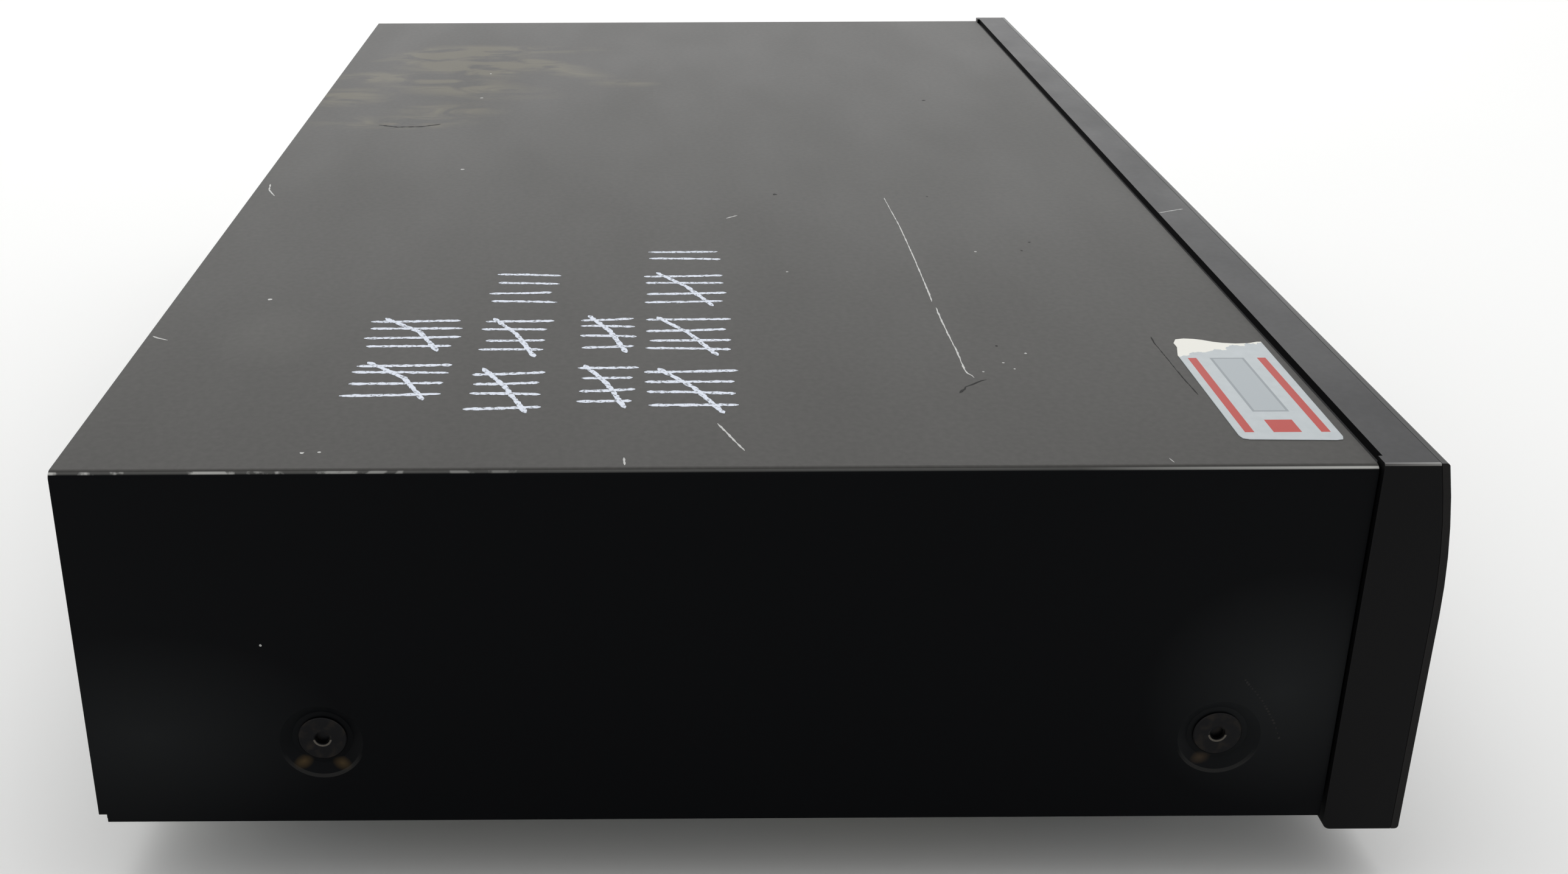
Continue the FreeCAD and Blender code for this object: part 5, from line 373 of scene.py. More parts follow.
def plain_aluminium():
    # Extruded or die-cast aluminium, left plain: pale grey with a dull, slightly pitted sheen.
    made, tree = finish("plain_aluminium", Metallic=1.0)
    drift = add(tree, "ShaderNodeTexNoise", {"Vector": at_scale(tree, 9), "Scale": 1, "Detail": 4})
    tone = add(tree, "ShaderNodeMix", {AMOUNT: drift, FROM: "#a3a5a8", TO: "#bcbdbe"}, data_type="RGBA")
    rough = add(tree, "ShaderNodeMapRange", [drift, *NOISE_SPAN, 0.36, 0.5])
    pits = add(tree, "ShaderNodeTexNoise", {"Vector": at_scale(tree, 0.6), "Scale": 1, "Detail": 3})
    relief = add(tree, "ShaderNodeBump", {"Strength": 0.3, "Distance": 0.008 * MM, "Height": pits})
    return lead(made, Base_Color=tone, Roughness=rough, Normal=relief)


def moulded_rubber():
    # Rubber pressed in a mould: very dark and matt, with a grey bloom of dust.
    made, tree = finish("moulded_rubber", IOR=1.52, Specular_IOR_Level=0.2)
    bloom = add(tree, "ShaderNodeTexNoise", {"Vector": at_scale(tree, 5), "Scale": 1, "Detail": 4})
    tone = add(tree, "ShaderNodeMix", {AMOUNT: bloom, FROM: "#171717", TO: "#292827"}, data_type="RGBA")
    rough = add(tree, "ShaderNodeMapRange", [bloom, *NOISE_SPAN, 0.72, 0.88])
    pores = add(tree, "ShaderNodeTexNoise", {"Vector": at_scale(tree, 0.4), "Scale": 1, "Detail": 2})
    relief = add(tree, "ShaderNodeBump", {"Strength": 0.4, "Distance": 0.02 * MM, "Height": pores})
    return lead(made, Base_Color=tone, Roughness=rough, Normal=relief)


def black_oxide_steel():
    # Steel blackened in hot salts and oiled: a dark sheen that is brown where the oil has gone.
    made, tree = finish("black_oxide_steel", Metallic=0.8)
    drift = add(tree, "ShaderNodeTexNoise", {"Vector": at_scale(tree, 2.2), "Scale": 1, "Detail": 4})
    dry = add(tree, "ShaderNodeMapRange", [drift, 0.5, 0.72, 0.0, 1.0])
    tone = add(tree, "ShaderNodeMix", {AMOUNT: dry, FROM: "#0e0e10", TO: "#211d19"}, data_type="RGBA")
    rough = add(tree, "ShaderNodeMapRange", [drift, *NOISE_SPAN, 0.3, 0.46])
    relief = add(tree, "ShaderNodeBump", {"Strength": 0.3, "Distance": 0.01 * MM, "Height": drift})
    return lead(made, Base_Color=tone, Roughness=rough, Normal=relief)


# The label's plain print: middle and half length across, middle and half width along, and colour
LABEL_PRINT = ((-182, 19.5, -109.4, 1.0, "#b03a32"), (-182, 19.5, -125.6, 1.0, "#b03a32"),
               (-177, 14.5, -117.5, 4.0, "#8d9498"), (-177, 13.9, -117.5, 3.4, "#a5acb0"),
               (-198.5, 3.0, -117.5, 3.0, "#b03a32"))
# The line beyond which its far end is torn: how it slants, where it lies, and how ragged it is
TEAR_SLANT, TEAR_LINE, TEAR_RAGGED = 0.35, -198.6, 1.6


def silvered_paper():
    # Silvered paper under a thin varnish, printed with two brick-red bars, a red square and an empty
    # grey field, and white where its face has torn off at the far end.
    made, tree = finish("silvered_label_paper", IOR=1.5, Specular_IOR_Level=0.1)
    x, y, _ = along_axes(tree)
    fibres = add(tree, "ShaderNodeTexNoise", {"Vector": at_scale(tree, 2.5), "Scale": 1, "Detail": 4})
    tone = add(tree, "ShaderNodeMix", {AMOUNT: fibres, FROM: "#acb3b6", TO: "#bcc2c5"}, data_type="RGBA")
    for middle_x, half_long, middle_y, half_wide, colour in LABEL_PRINT:
        inside_x = add(tree, "ShaderNodeMath", [x, middle_x * MM, half_long * MM], operation="COMPARE")
        inside_y = add(tree, "ShaderNodeMath", [y, middle_y * MM, half_wide * MM], operation="COMPARE")
        printed = add(tree, "ShaderNodeMath", [inside_x, inside_y], operation="MULTIPLY")
        tone = add(tree, "ShaderNodeMix", {AMOUNT: printed, FROM: tone, TO: colour}, data_type="RGBA")
    ragged = add(tree, "ShaderNodeMapRange", [fibres, *NOISE_SPAN, -TEAR_RAGGED * MM, TEAR_RAGGED * MM])
    slope = add(tree, "ShaderNodeMath", [y, TEAR_SLANT, x], operation="MULTIPLY_ADD")
    edge = add(tree, "ShaderNodeMath", [slope, ragged], operation="ADD")
    torn = add(tree, "ShaderNodeMath", [edge, TEAR_LINE * MM], operation="GREATER_THAN")
    tone = add(tree, "ShaderNodeMix", {AMOUNT: torn, FROM: tone, TO: "#e9e8e1"}, data_type="RGBA")
    rough = add(tree, "ShaderNodeMapRange", [torn, 0.0, 1.0, 0.36, 0.85])
    relief = add(tree, "ShaderNodeBump", {"Strength": 0.3, "Distance": 0.02 * MM, "Height": fibres})
    return lead(made, Base_Color=tone, Roughness=rough, Normal=relief)


def white_wax_pencil():
    # Waxy white pencil: nearly solid, broken in places by the grain of the enamel under it.
    made, tree = finish("white_wax_pencil", IOR=1.45, Specular_IOR_Level=0.2)
    grain = add(tree, "ShaderNodeTexNoise", {"Vector": at_scale(tree, 0.8), "Scale": 1, "Detail": 3})
    thin = add(tree, "ShaderNodeMapRange", [grain, 0.36, 0.46, 1.0, 0.0])
    tone = add(tree, "ShaderNodeMix", {AMOUNT: thin, FROM: "#dde3ee", TO: "#8f9399"}, data_type="RGBA")
    rough = add(tree, "ShaderNodeMapRange", [grain, *NOISE_SPAN, 0.7, 0.9])
    relief = add(tree, "ShaderNodeBump", {"Strength": 0.4, "Distance": 0.02 * MM, "Height": grain})
    return lead(made, Base_Color=tone, Roughness=rough, Normal=relief)


def scored_enamel():
    # Enamel scored down to its primer: dry pale grey with glints of the steel.
    made, tree = finish("scored_enamel", IOR=1.5)
    depth = add(tree, "ShaderNodeTexNoise", {"Vector": at_scale(tree, 1.4), "Scale": 1, "Detail": 3})
    tone = add(tree, "ShaderNodeMix", {AMOUNT: depth, FROM: "#8a8a88", TO: "#d2d2cf"}, data_type="RGBA")
    rough = add(tree, "ShaderNodeMapRange", [depth, *NOISE_SPAN, 0.4, 0.6])
    return lead(made, Base_Color=tone, Roughness=rough)


def printed_ink(name, colour, pale):
    # Screen-printed or vapour-laid film: thin, matt and even, with a slight drift.
    made, tree = finish(name, IOR=1.5)
    drift = add(tree, "ShaderNodeTexNoise", {"Vector": at_scale(tree, 1), "Scale": 1, "Detail": 2})
    tone = add(tree, "ShaderNodeMix", {AMOUNT: drift, FROM: colour, TO: pale}, data_type="RGBA")
    rough = add(tree, "ShaderNodeMapRange", [drift, *NOISE_SPAN, 0.5, 0.65])
    return lead(made, Base_Color=tone, Roughness=rough)


def studio_floor():
    # Matt painted board, almost white, so that it takes the shadow and little else.
    made, tree = finish("pale_studio_floor", Roughness=0.9, Specular_IOR_Level=0.1)
    drift = add(tree, "ShaderNodeTexNoise", {"Vector": at_scale(tree, 400), "Scale": 1, "Detail": 2})
    tone = add(tree, "ShaderNodeMix", {AMOUNT: drift, FROM: "#f8f8f7", TO: "#fbfbfa"}, data_type="RGBA")
    return lead(made, Base_Color=tone)


FINISHES = {
    "cover": baked_enamel(),
    "rear": sheltered_enamel(),
    "fascia": spark_grained_abs(),
    "plate": brushed_black_plate(),
    "zinc": zinc_plated_sheet(),
    "rod": turned_metal("ground_steel_rod", "#a4a5a6", "#c9c9c6", 0.18),
    "nickel": turned_metal("nickel_plated_brass", "#9f9d96", "#bdbbb3", 0.24),
    "gold": turned_metal("gold_flashed_brass", "#b08a3c", "#c7a45a", 0.26),
    "dark": moulded("black_polystyrene", "#17181a", "#1f2022", 0.5),
    "keys": moulded("satin_black_abs_key", "#1b1b1d", "#232326", 0.34, 0.6, 0.004),
    "acetal": moulded("natural_acetal", "#cfcdc4", "#dad8d0", 0.36, 0.8, 0.004),
    "sleeve": moulded("shrunk_pvc_sleeve", "#14161f", "#1c1f2b", 0.28, 0.8, 0.004),
    "film": moulded("white_polyester_film", "#c9c9c4", "#d8d8d3", 0.3, 0.8, 0.004),
    "ferrite": moulded("taped_ferrite", "#3a352c", "#4a4436", 0.55),
    "window": smoked_acrylic(),
    "tube": tube_glass(),
    "board": lacquered_board(),
    "alloy": plain_aluminium(),
    "rubber": moulded_rubber(),
    "screw": black_oxide_steel(),
    "lens": moulded("black_lens_holder", "#15151a", "#1d1d22", 0.2, 0.8, 0.003),
}

NODE_FINISH = {
    "top_cover": "cover", "rear_panel": "rear", "fascia_frame": "fascia", "front_plate": "plate",
    "tray_door": "plate", "display_window": "window", "display_tube": "tube",
    "base_chassis": "zinc", "usb_socket": "zinc", "hdmi_socket": "zinc", "lan_socket": "zinc",
    "loader_brackets": "zinc", "clamp_bridge": "zinc", "deck_plate": "zinc", "chassis_screws": "zinc",
    "bush_screws": "zinc", "loading_motor": "zinc", "sled_motor": "zinc", "spindle_motor": "zinc",
    "guide_rods": "rod", "lead_screw": "rod", "clamper_magnet": "rod",
    "analogue_sockets": "nickel", "digital_sockets": "nickel",
    "front_board": "board", "power_supply_board": "board", "main_board": "board", "audio_board": "board",
    "key_switches": "dark", "main_chips": "dark", "mains_inlet": "dark", "loader_frame": "dark",
    "disc_tray": "dark", "traverse_frame": "dark", "turntable": "dark", "clamper": "dark", "feet": "dark",
    "cover_screws": "screw", "power_transformer": "ferrite", "supply_capacitors": "sleeve",
    "audio_capacitors": "sleeve", "heat_sinks": "alloy", "optical_pickup": "alloy",
    "loading_belt": "rubber", "foot_pads": "rubber", "rubber_bushes": "rubber",
    "front_flat_cable": "film", "loader_flat_cable": "film",
    "tray_gear": "acetal", "pulley_gear": "acetal", "motor_pulley": "acetal", "cam_slider": "acetal",
    "objective_lens": "lens",
    "power_button": "keys", "open_close_key": "keys", "play_key": "keys", "pause_key": "keys",
    "stop_key": "keys", "skip_back_key": "keys", "skip_forward_key": "keys",
}


def dress(piece, material):
    """Gives a piece one material all over."""
    piece.data.materials.clear()
    piece.data.materials.append(material)


for node_name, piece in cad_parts.items():
    dress(piece, FINISHES[NODE_FINISH[node_name]])


# Pieces made here

def placed(name, data):
    """A mesh, lamp or camera as an object in the scene."""
    made = bpy.data.objects.new(name, data)
    bpy.context.collection.objects.link(made)
    return made


def meshed(name, drawn, material):
    """What was drawn, as a dressed object in the scene."""
    mesh = bpy.data.meshes.new(name)
    drawn.to_mesh(mesh)
    drawn.free()
    made = placed(name, mesh)
    dress(made, material)
    return made


def piece_from(name, draw, material, body="case"):
    """A piece whose mesh is drawn in millimetres and rides on a body."""
    drawn = bmesh.new()
    draw(drawn)
    bmesh.ops.scale(drawn, vec=(MM, MM, MM), verts=drawn.verts)
    made = meshed(name, drawn, material)
    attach(made, body)
    return made


def prism(drawn, outline, place, across, up, thick):
    """A flat piece: its outline in two directions from a place, thick along their cross product."""
    across, up = Vector(across), Vector(up)
    away = across.cross(up)
    low = [drawn.verts.new(Vector(place) + across * a + up * b) for a, b in outline]
    high = [drawn.verts.new(vert.co + away * thick) for vert in low]
    drawn.faces.new(list(reversed(low)))
    drawn.faces.new(high)
    for this in range(len(low)):
        after = (this + 1) % len(low)
        drawn.faces.new((low[this], low[after], high[after], high[this]))


# Faces to draw on: a place, and the directions across and up
ON_COVER = {"place": (0, 0, TOP_Z), "across": (1, 0, 0), "up": (0, 1, 0)}
ON_FASCIA = {"place": (0, 0, FASCIA_TOP_Z), "across": (1, 0, 0), "up": (0, 1, 0)}
ON_LEFT_SIDE = {"place": (-SIDE_X, 0, 0), "across": (0, -1, 0), "up": (0, 0, 1)}
ON_FRONT = {"across": (1, 0, 0), "up": (0, 0, 1)}

# How far a scratch, a rub mark or a speck stands up, and how uneven a scratch is
FILM, UNEVEN = 0.02, 0.5
# The share of its width that a stroke's ends keep, and of its unevenness that it sways
END_SHARE, SWAY = 0.25, 0.3
# How far the corners of a speck reach, as shares of half its size
SPECK_REACH = (0.65, 1.2)


def stroke(drawn, points, width, wobble=0.25, thick=0.03, where=ON_COVER, last_width=None, step=0.8):
    """A thin hand-made line along its points, uneven in width and pointed at both ends."""
    path = []
    for (x0, y0), (x1, y1) in zip(points, points[1:]):
        parts = max(1, int(math.hypot(x1 - x0, y1 - y0) / step))
        path += [(x0 + (x1 - x0) * part / parts, y0 + (y1 - y0) * part / parts) for part in range(parts)]
    path.append(points[-1])
    left, right = [], []
    for place, (x, y) in enumerate(path):
        before, after = path[max(place - 1, 0)], path[min(place + 1, len(path) - 1)]
        way = Vector((after[0] - before[0], after[1] - before[1])).normalized()
        wide = width + ((last_width or width) - width) * place / (len(path) - 1)
        taper = END_SHARE if place in (0, len(path) - 1) else 1.0
        half = wide / 2 * taper * (1 + wobble * rng.uniform(-1, 1))
        shift = wobble * wide * SWAY * rng.uniform(-1, 1)
        left.append((x - way.y * (half + shift), y + way.x * (half + shift)))
        right.append((x + way.y * (half - shift), y - way.x * (half - shift)))
    prism(drawn, right + left[::-1], thick=thick, **where)


def speck(drawn, x, y, size, where=ON_COVER, sides=7):
    """A chip, a crumb, a rub speck or the painted glint on the side: an uneven little spot."""
    corners = []
    for corner in range(sides):
        angle, reach = 2 * math.pi * corner / sides, size / 2 * rng.uniform(*SPECK_REACH)
        corners.append((x + reach * math.cos(angle), y + reach * math.sin(angle)))
    prism(drawn, corners, thick=FILM, **where)


# The label's outline from its near left corner round to the far end, where it is torn
LABEL_OUTLINE = ((-202.9, -106.6), (-204.3, -107.0), (-204.8, -108.3), (-205.3, -126.4), (-205.0, -127.8),
                 (-203.6, -128.3), (-153.1, -128.9), (-153.1, -127.9), (-153.9, -125.7), (-154.1, -122.5),
                 (-153.7, -119.5), (-153.0, -117.4), (-151.8, -115.1), (-151.2, -113.3), (-150.9, -111.0),
                 (-151.4, -108.9), (-153.6, -107.8), (-156.0, -107.9), (-160.8, -106.6))
LABEL_THICK = 0.12


def label_sheet(drawn):
    """The label as one thin sheet."""
    prism(drawn, LABEL_OUTLINE, thick=LABEL_THICK, **ON_COVER)


# Each row of tally strokes: first stroke, low end, height, space between strokes, and how many
TALLY_ROWS = ((-180, 63, 24, 5.4, 10), (-187, 41, 18, 6.2, 14), (-184, 20, 15, 6.0, 10),
              (-187, -3, 22, 6.2, 17))
TALLY_GROUP, TALLY_WIDTH = 5, 1.25
# How far a stroke strays sideways, leans and stops short, and its share of the lean at half height
STRAY, LEAN, SHORT, LEAN_HALFWAY = 0.5, 1.2, 2, 0.7
# The stroke across a group: spaces back along the row and share of its height, at start, middle and
# end. It is thicker than the rest, so that no two faces lie in one plane where they cross.
CROSSING, CROSSING_THICK = ((4.6, 0.2), (2.4, 0.45), (0.7, 0.85)), 0.06


def tally_marks(drawn):
    """Plain tally strokes in groups of four with a fifth across them."""
    for first, low, tall, apart, count in TALLY_ROWS:
        for mark in range(count):
            x = first + mark * apart + rng.uniform(-STRAY, STRAY)
            lean = rng.uniform(-LEAN, LEAN)
            if mark % TALLY_GROUP == TALLY_GROUP - 1:
                points = [(x - back * apart, low + tall * share + bow)
                          for (back, share), bow in zip(CROSSING, (0, lean, 0))]
                stroke(drawn, points, TALLY_WIDTH, thick=CROSSING_THICK)
            else:
                points = [(x, low + rng.uniform(0, SHORT)), (x + lean * LEAN_HALFWAY, low + tall / 2),
                          (x + lean, low + tall - rng.uniform(0, SHORT))]
                stroke(drawn, points, TALLY_WIDTH)


# The long scratch in its two lengths: points, first width and last width
LONG_SCRATCH = (
    (((-126.0, -54.5), (-120.7, -54.7), (-91.8, -54.9), (-67.3, -54.8), (-40.7, -53.9)), 0.36, 0.2),
    (((-172.8, -56.5), (-171.6, -56.2), (-170.4, -55.4), (-168.0, -55.1), (-157.7, -55.2),
      (-146.2, -54.9), (-133.5, -54.8), (-130.1, -54.9)), 0.36, 0.36))
SHORT_SCRATCHES = (
    ((-24.3, 136.2), (-30.0, 135.4), (-36.3, 132.4)), ((-195.8, 3.0), (-203, 0.2), (-208.7, -2.1)),
    ((-146.2, 138.3), (-147.4, 136.7), (-148.8, 133.9)), ((-213.0, -88.9), (-214.8, -89.4)),
    ((-59.4, -5.0), (-56.8, -8.4)), ((-214.9, 22.7), (-211.5, 22.9)))
SHORT_WIDTH = 0.4
FASCIA_SCRATCH, FASCIA_SCRATCH_WIDTH = ((-59.3, -132.1), (-55.8, -140.1)), 0.35
# Chips and crumbs: place and size
PALE_CHIPS = ((-159.1, -71.2, 0.7), (-164.5, -64.8, 0.6), (-169.5, -59.2, 0.6), (-168.0, -66.7, 0.5),
              (-88.9, -72.6, 0.8), (81.6, 80.2, 1.3), (-9.4, 77.6, 1.3), (-122.4, 114.9, 1.2),
              (-208.8, 89.6, 1.0), (-208.5, 86.1, 0.8), (119.5, 80.2, 1.0), (-104.0, -19.3, 0.7))
# A painted glint on the left side: place along, up, and size
SIDE_GLINT = (-100, 63, 0.6)
DARK_CRUMBS = ((-36.9, -20.9, 1.5), (75.4, -84.5, 1.5), (-154.7, -65.2, 0.8), (-81.4, -89.2, 0.9),
               (-88.1, -85.6, 0.8), (-39.6, -67.2, 0.8))
# The spill's dark rim, and the rub marks at the end of the long scratch and beside the label:
# points, width, and how uneven
DARK_LINES = (
    (((44.4, 112.9), (41.5, 105.9), (42.1, 97.3), (45.3, 91.1)), 0.8, 0.5),
    (((-181.0, -51.6), (-179.0, -53.1), (-177.7, -53.7), (-176.5, -55.3), (-174.4, -57.8),
      (-173.8, -59.1)), 0.5, 0.5),
    (((-149.5, -103.6), (-153, -103.3), (-172.8, -103.9), (-182.5, -104.5)), 0.25, 0.6))
# A chain of dark specks on the left side: places along and up, specks to each stretch, and their sizes
SIDE_RUB = ((-109.6, 53.0), (-111.4, 50.8), (-113.9, 47.7), (-115.5, 45.0), (-117.2, 42.0), (-119.3, 36.8))
RUB_SPECKS, RUB_SIZES = 4, (0.3, 0.7)


def scratches_and_side_glint(drawn):
    """The top's long scratch, short ones and chips, a scratch on the fascia and a painted glint on the side.
    """
    for points, width, last_width in LONG_SCRATCH:
        stroke(drawn, points, width, UNEVEN, FILM, last_width=last_width)
    for points in SHORT_SCRATCHES:
        stroke(drawn, points, SHORT_WIDTH, UNEVEN, FILM)
    for x, y, size in PALE_CHIPS:
        speck(drawn, x, y, size)
    stroke(drawn, FASCIA_SCRATCH, FASCIA_SCRATCH_WIDTH, UNEVEN, FILM / 2, ON_FASCIA)
    # The painted glint on the left side
    speck(drawn, *SIDE_GLINT, ON_LEFT_SIDE)


def dark_marks(drawn):
    """Dark crumbs, the spill's dark rim, and rub marks on the top and the left side."""
    for x, y, size in DARK_CRUMBS:
        speck(drawn, x, y, size)
    for points, width, wobble in DARK_LINES:
        stroke(drawn, points, width, wobble, FILM)
    for (y0, z0), (y1, z1) in zip(SIDE_RUB, SIDE_RUB[1:]):
        for part in range(RUB_SPECKS):
            along, up = y0 + (y1 - y0) * part / RUB_SPECKS, z0 + (z1 - z0) * part / RUB_SPECKS
            speck(drawn, -along, up, rng.uniform(*RUB_SIZES), ON_LEFT_SIDE)


def lathe(drawn, seat, way, profile, steps=48):
    """A closed turned piece about the direction in which it faces; each step is a radius and a rise."""
    helper = Vector((0, 0, 1)) if abs(way.z) < 0.9 else Vector((1, 0, 0))
    across = way.cross(helper).normalized()
    up = way.cross(across)
    rows = [[drawn.verts.new(seat + way * rise + across * radius * math.cos(2 * math.pi * turn / steps)
                             + up * radius * math.sin(2 * math.pi * turn / steps)) for turn in range(steps)]
            for radius, rise in profile]
    for lower, upper in zip(rows, rows[1:]):
        for turn in range(steps):
            after = (turn + 1) % steps
            drawn.faces.new((lower[turn], lower[after], upper[after], upper[turn]))
    drawn.faces.new(list(reversed(rows[0])))
    drawn.faces.new(rows[-1])


# Profiles of the screw heads, from the shank out to the face: radius and rise
SIDE_HEAD = ((1.45, -6.0), (1.45, 0.0), (5.0, 0.0), (5.3, 0.12), (5.3, 0.4), (5.1, 0.55), (1.95, 0.55),
             (1.7, 0.45), (1.6, 0.3), (1.6, -0.7))
PAN_HEAD = ((1.45, -6.0), (1.45, 0.0), (2.8, 0.0), (2.8, 0.7), (2.55, 1.35), (1.9, 1.7), (1.2, 1.8))
LIP_SCREW_PLACES, LIP_SCREW_Z = (-150, 0, 150), TOP_Z - 5.5
# The cross in a pan head, a flat dark sheet of painted shade where its recess would be: length and
# width of its arms, how far out it lies, and its thickness
CROSS_LONG, CROSS_WIDE, CROSS_RISE, CROSS_THICK = 2.0, 0.56, 1.82, 0.06
# The painted highlight on the lower rim of a side screw's socket: its radii, how far out it lies, and
# its thickness
RIM_OUTER, RIM_INNER, RIM_RISE, RIM_THICK = 2.05, 1.65, 0.53, 0.05


def cover_screw_set(drawn):
    """Flat socket heads in the dished side seats, and cross-recessed pan heads along the rear lip."""
    for sign in (-1, 1):
        for seat_y in SEAT_PLACES:
            seat = Vector((sign * (SIDE_X - SEAT_DEPTH), seat_y, SEAT_Z))
            lathe(drawn, seat, Vector((sign, 0, 0)), SIDE_HEAD)
    for x in LIP_SCREW_PLACES:
        lathe(drawn, Vector((x, COVER_REAR_Y, LIP_SCREW_Z)), Vector((0, 1, 0)), PAN_HEAD)


def bar(x, y, wide, tall):
    """The outline of a bar about its middle."""
    return [(x - wide / 2, y - tall / 2), (x + wide / 2, y - tall / 2),
            (x + wide / 2, y + tall / 2), (x - wide / 2, y + tall / 2)]


def ring_part(outer, inner, start, sweep, steps):
    """The outline of part of a flat ring; the start and the sweep are in degrees."""
    angles = [math.radians(start + sweep * part / steps) for part in range(steps + 1)]
    return ([(outer * math.cos(angle), outer * math.sin(angle)) for angle in angles]
            + [(inner * math.cos(angle), inner * math.sin(angle)) for angle in reversed(angles)])


def cross_recess_shade(drawn):
    """Dark crosses of painted shade on the pan heads, where their recesses would be."""
    for x in LIP_SCREW_PLACES:
        for wide, tall in ((CROSS_LONG, CROSS_WIDE), (CROSS_WIDE, CROSS_LONG)):
            prism(drawn, bar(0, 0, wide, tall), (x, COVER_REAR_Y + CROSS_RISE, LIP_SCREW_Z),
                  thick=CROSS_THICK, across=(-1, 0, 0), up=(0, 0, 1))


def socket_rim_highlights(drawn):
    """Painted highlights, brownish, on the lower rims of the side screws' sockets."""
    outline = ring_part(RIM_OUTER, RIM_INNER, start=190, sweep=160, steps=12)
    for sign in (-1, 1):
        for seat_y in SEAT_PLACES:
            prism(drawn, outline, (sign * (SIDE_X - SEAT_DEPTH + RIM_RISE), seat_y, SEAT_Z),
                  thick=RIM_THICK, across=(0, sign, 0), up=(0, 0, 1))


def triangle(x, size, way=1):
    """The outline of a triangle that points along +X, or along -X where way is -1."""
    return [(x - size / 2 * way, -size / 2), (x + size / 2 * way, 0), (x - size / 2 * way, size / 2)][::way]


# The outlines of each key's sign, about the middle of its face
KEY_SIGNS = {
    "open_close_key": [[(-1.8, -0.2), (1.8, -0.2), (0, 2.0)], bar(0, -1.4, 3.6, 0.8)],
    "play_key": [triangle(0, 3.6)],
    "pause_key": [bar(-1.0, 0, 0.9, 3.2), bar(1.0, 0, 0.9, 3.2)],
    "stop_key": [bar(0, 0, 3.0, 3.0)],
    "skip_back_key": [triangle(1.6, 2.8, -1), triangle(-0.9, 2.8, -1), bar(-2.9, 0, 0.7, 2.8)],
    "skip_forward_key": [triangle(-1.6, 2.8), triangle(0.9, 2.8), bar(2.9, 0, 0.7, 2.8)],
}
# A broken ring with a bar in its gap
POWER_SIGN = [ring_part(outer=2.6, inner=2.0, start=125, sweep=290, steps=20), bar(0, 2.1, 0.6, 2.2)]
# A sign starts a little inside its key's face and ends as far outside it
SIGN_SUNK, SIGN_THICK = 0.01, 0.02


def face_sign(key, outlines):
    """Draws a sign on the middle of a key's face."""
    low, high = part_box(key)
    place = ((low[0] + high[0]) / 2 / MM, low[1] / MM + SIGN_SUNK, (low[2] + high[2]) / 2 / MM)

    def draw(drawn):
        for outline in outlines:
            prism(drawn, outline, place, thick=SIGN_THICK, **ON_FRONT)
    return draw


# The display's figures: how many, and the space from one to the next
FIGURES, FIGURE_PITCH = 8, 14
# A figure's width and height, the thickness of its lines, and what the level and upright ones give up
FIGURE_WIDE, FIGURE_TALL, LINE_WIDE, LEVEL_GAP, UPRIGHT_GAP = 7.0, 11.0, 0.9, 1.6, 1.4
PHOSPHOR_THICK = 0.05


def display_segments(drawn):
    """Unlit segments on the tube's face: eight seven-part figures."""
    low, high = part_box("display_tube")
    place = (0, low[1] / MM, (low[2] + high[2]) / 2 / MM)
    for figure in range(FIGURES):
        x = (figure - (FIGURES - 1) / 2) * FIGURE_PITCH
        lines = [bar(x, up, FIGURE_WIDE - LEVEL_GAP, LINE_WIDE)
                 for up in (-FIGURE_TALL / 2, 0, FIGURE_TALL / 2)]
        lines += [bar(x + across, up, LINE_WIDE, FIGURE_TALL / 2 - UPRIGHT_GAP)
                  for across in (-FIGURE_WIDE / 2, FIGURE_WIDE / 2)
                  for up in (-FIGURE_TALL / 4, FIGURE_TALL / 4)]
        for line in lines:
            prism(drawn, line, place, thick=PHOSPHOR_THICK, **ON_FRONT)


# A socket's ring: its radii, how far it stands out of the panel, and its steps round
COLLAR_INNER, COLLAR_OUTER, COLLAR_PROUD, COLLAR_STEPS = 4.2, 5.06, 0.52, 32


def collars(places):
    """Insulating rings round the rear's round sockets."""
    profile = ((COLLAR_INNER, COLLAR_PROUD), (COLLAR_OUTER, COLLAR_PROUD),
               (COLLAR_OUTER, 0.0), (COLLAR_INNER, 0.0))
    angles = [2 * math.pi * turn / COLLAR_STEPS for turn in range(COLLAR_STEPS)]

    def draw(drawn):
        for x, z in places:
            rows = [[drawn.verts.new((x + radius * math.cos(angle), PANEL_Y + rise,
                                      z + radius * math.sin(angle))) for angle in angles]
                    for radius, rise in profile]
            for lower, upper in zip(rows, rows[1:] + rows[:1]):
                for turn in range(COLLAR_STEPS):
                    after = (turn + 1) % COLLAR_STEPS
                    drawn.faces.new((lower[turn], upper[turn], upper[after], lower[after]))
    return draw


# Wires in the network socket, then pads on the front socket's tongue: how many, their pitch, width and
# height, where they start along Y, how far up they lie, and how long they are
NETWORK_WIRES = (8, 1.02, 0.4, 0.4, 136, 3.0, 7.0)
TONGUE_PADS = (4, 2.3, 1.1, 0.12, -136.5, 0.36, 8.5)


def contact_row(drawn, middle, foot, count, pitch, wide, tall, start, up, long):
    """A level row of contacts, each of which runs towards the front from where it starts."""
    for contact in range(count):
        across = (contact - (count - 1) / 2) * pitch
        prism(drawn, bar(across, 0, wide, tall), (middle, start, foot + up), thick=long, **ON_FRONT)


def contact_wires(drawn):
    """Gold wires in the network socket and gold pads on the front socket's tongue."""
    low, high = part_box("lan_socket")
    contact_row(drawn, (low[0] + high[0]) / 2 / MM, low[2] / MM, *NETWORK_WIRES)
    low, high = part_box("usb_socket")
    contact_row(drawn, (low[0] + high[0]) / 2 / MM, (low[2] + high[2]) / 2 / MM, *TONGUE_PADS)


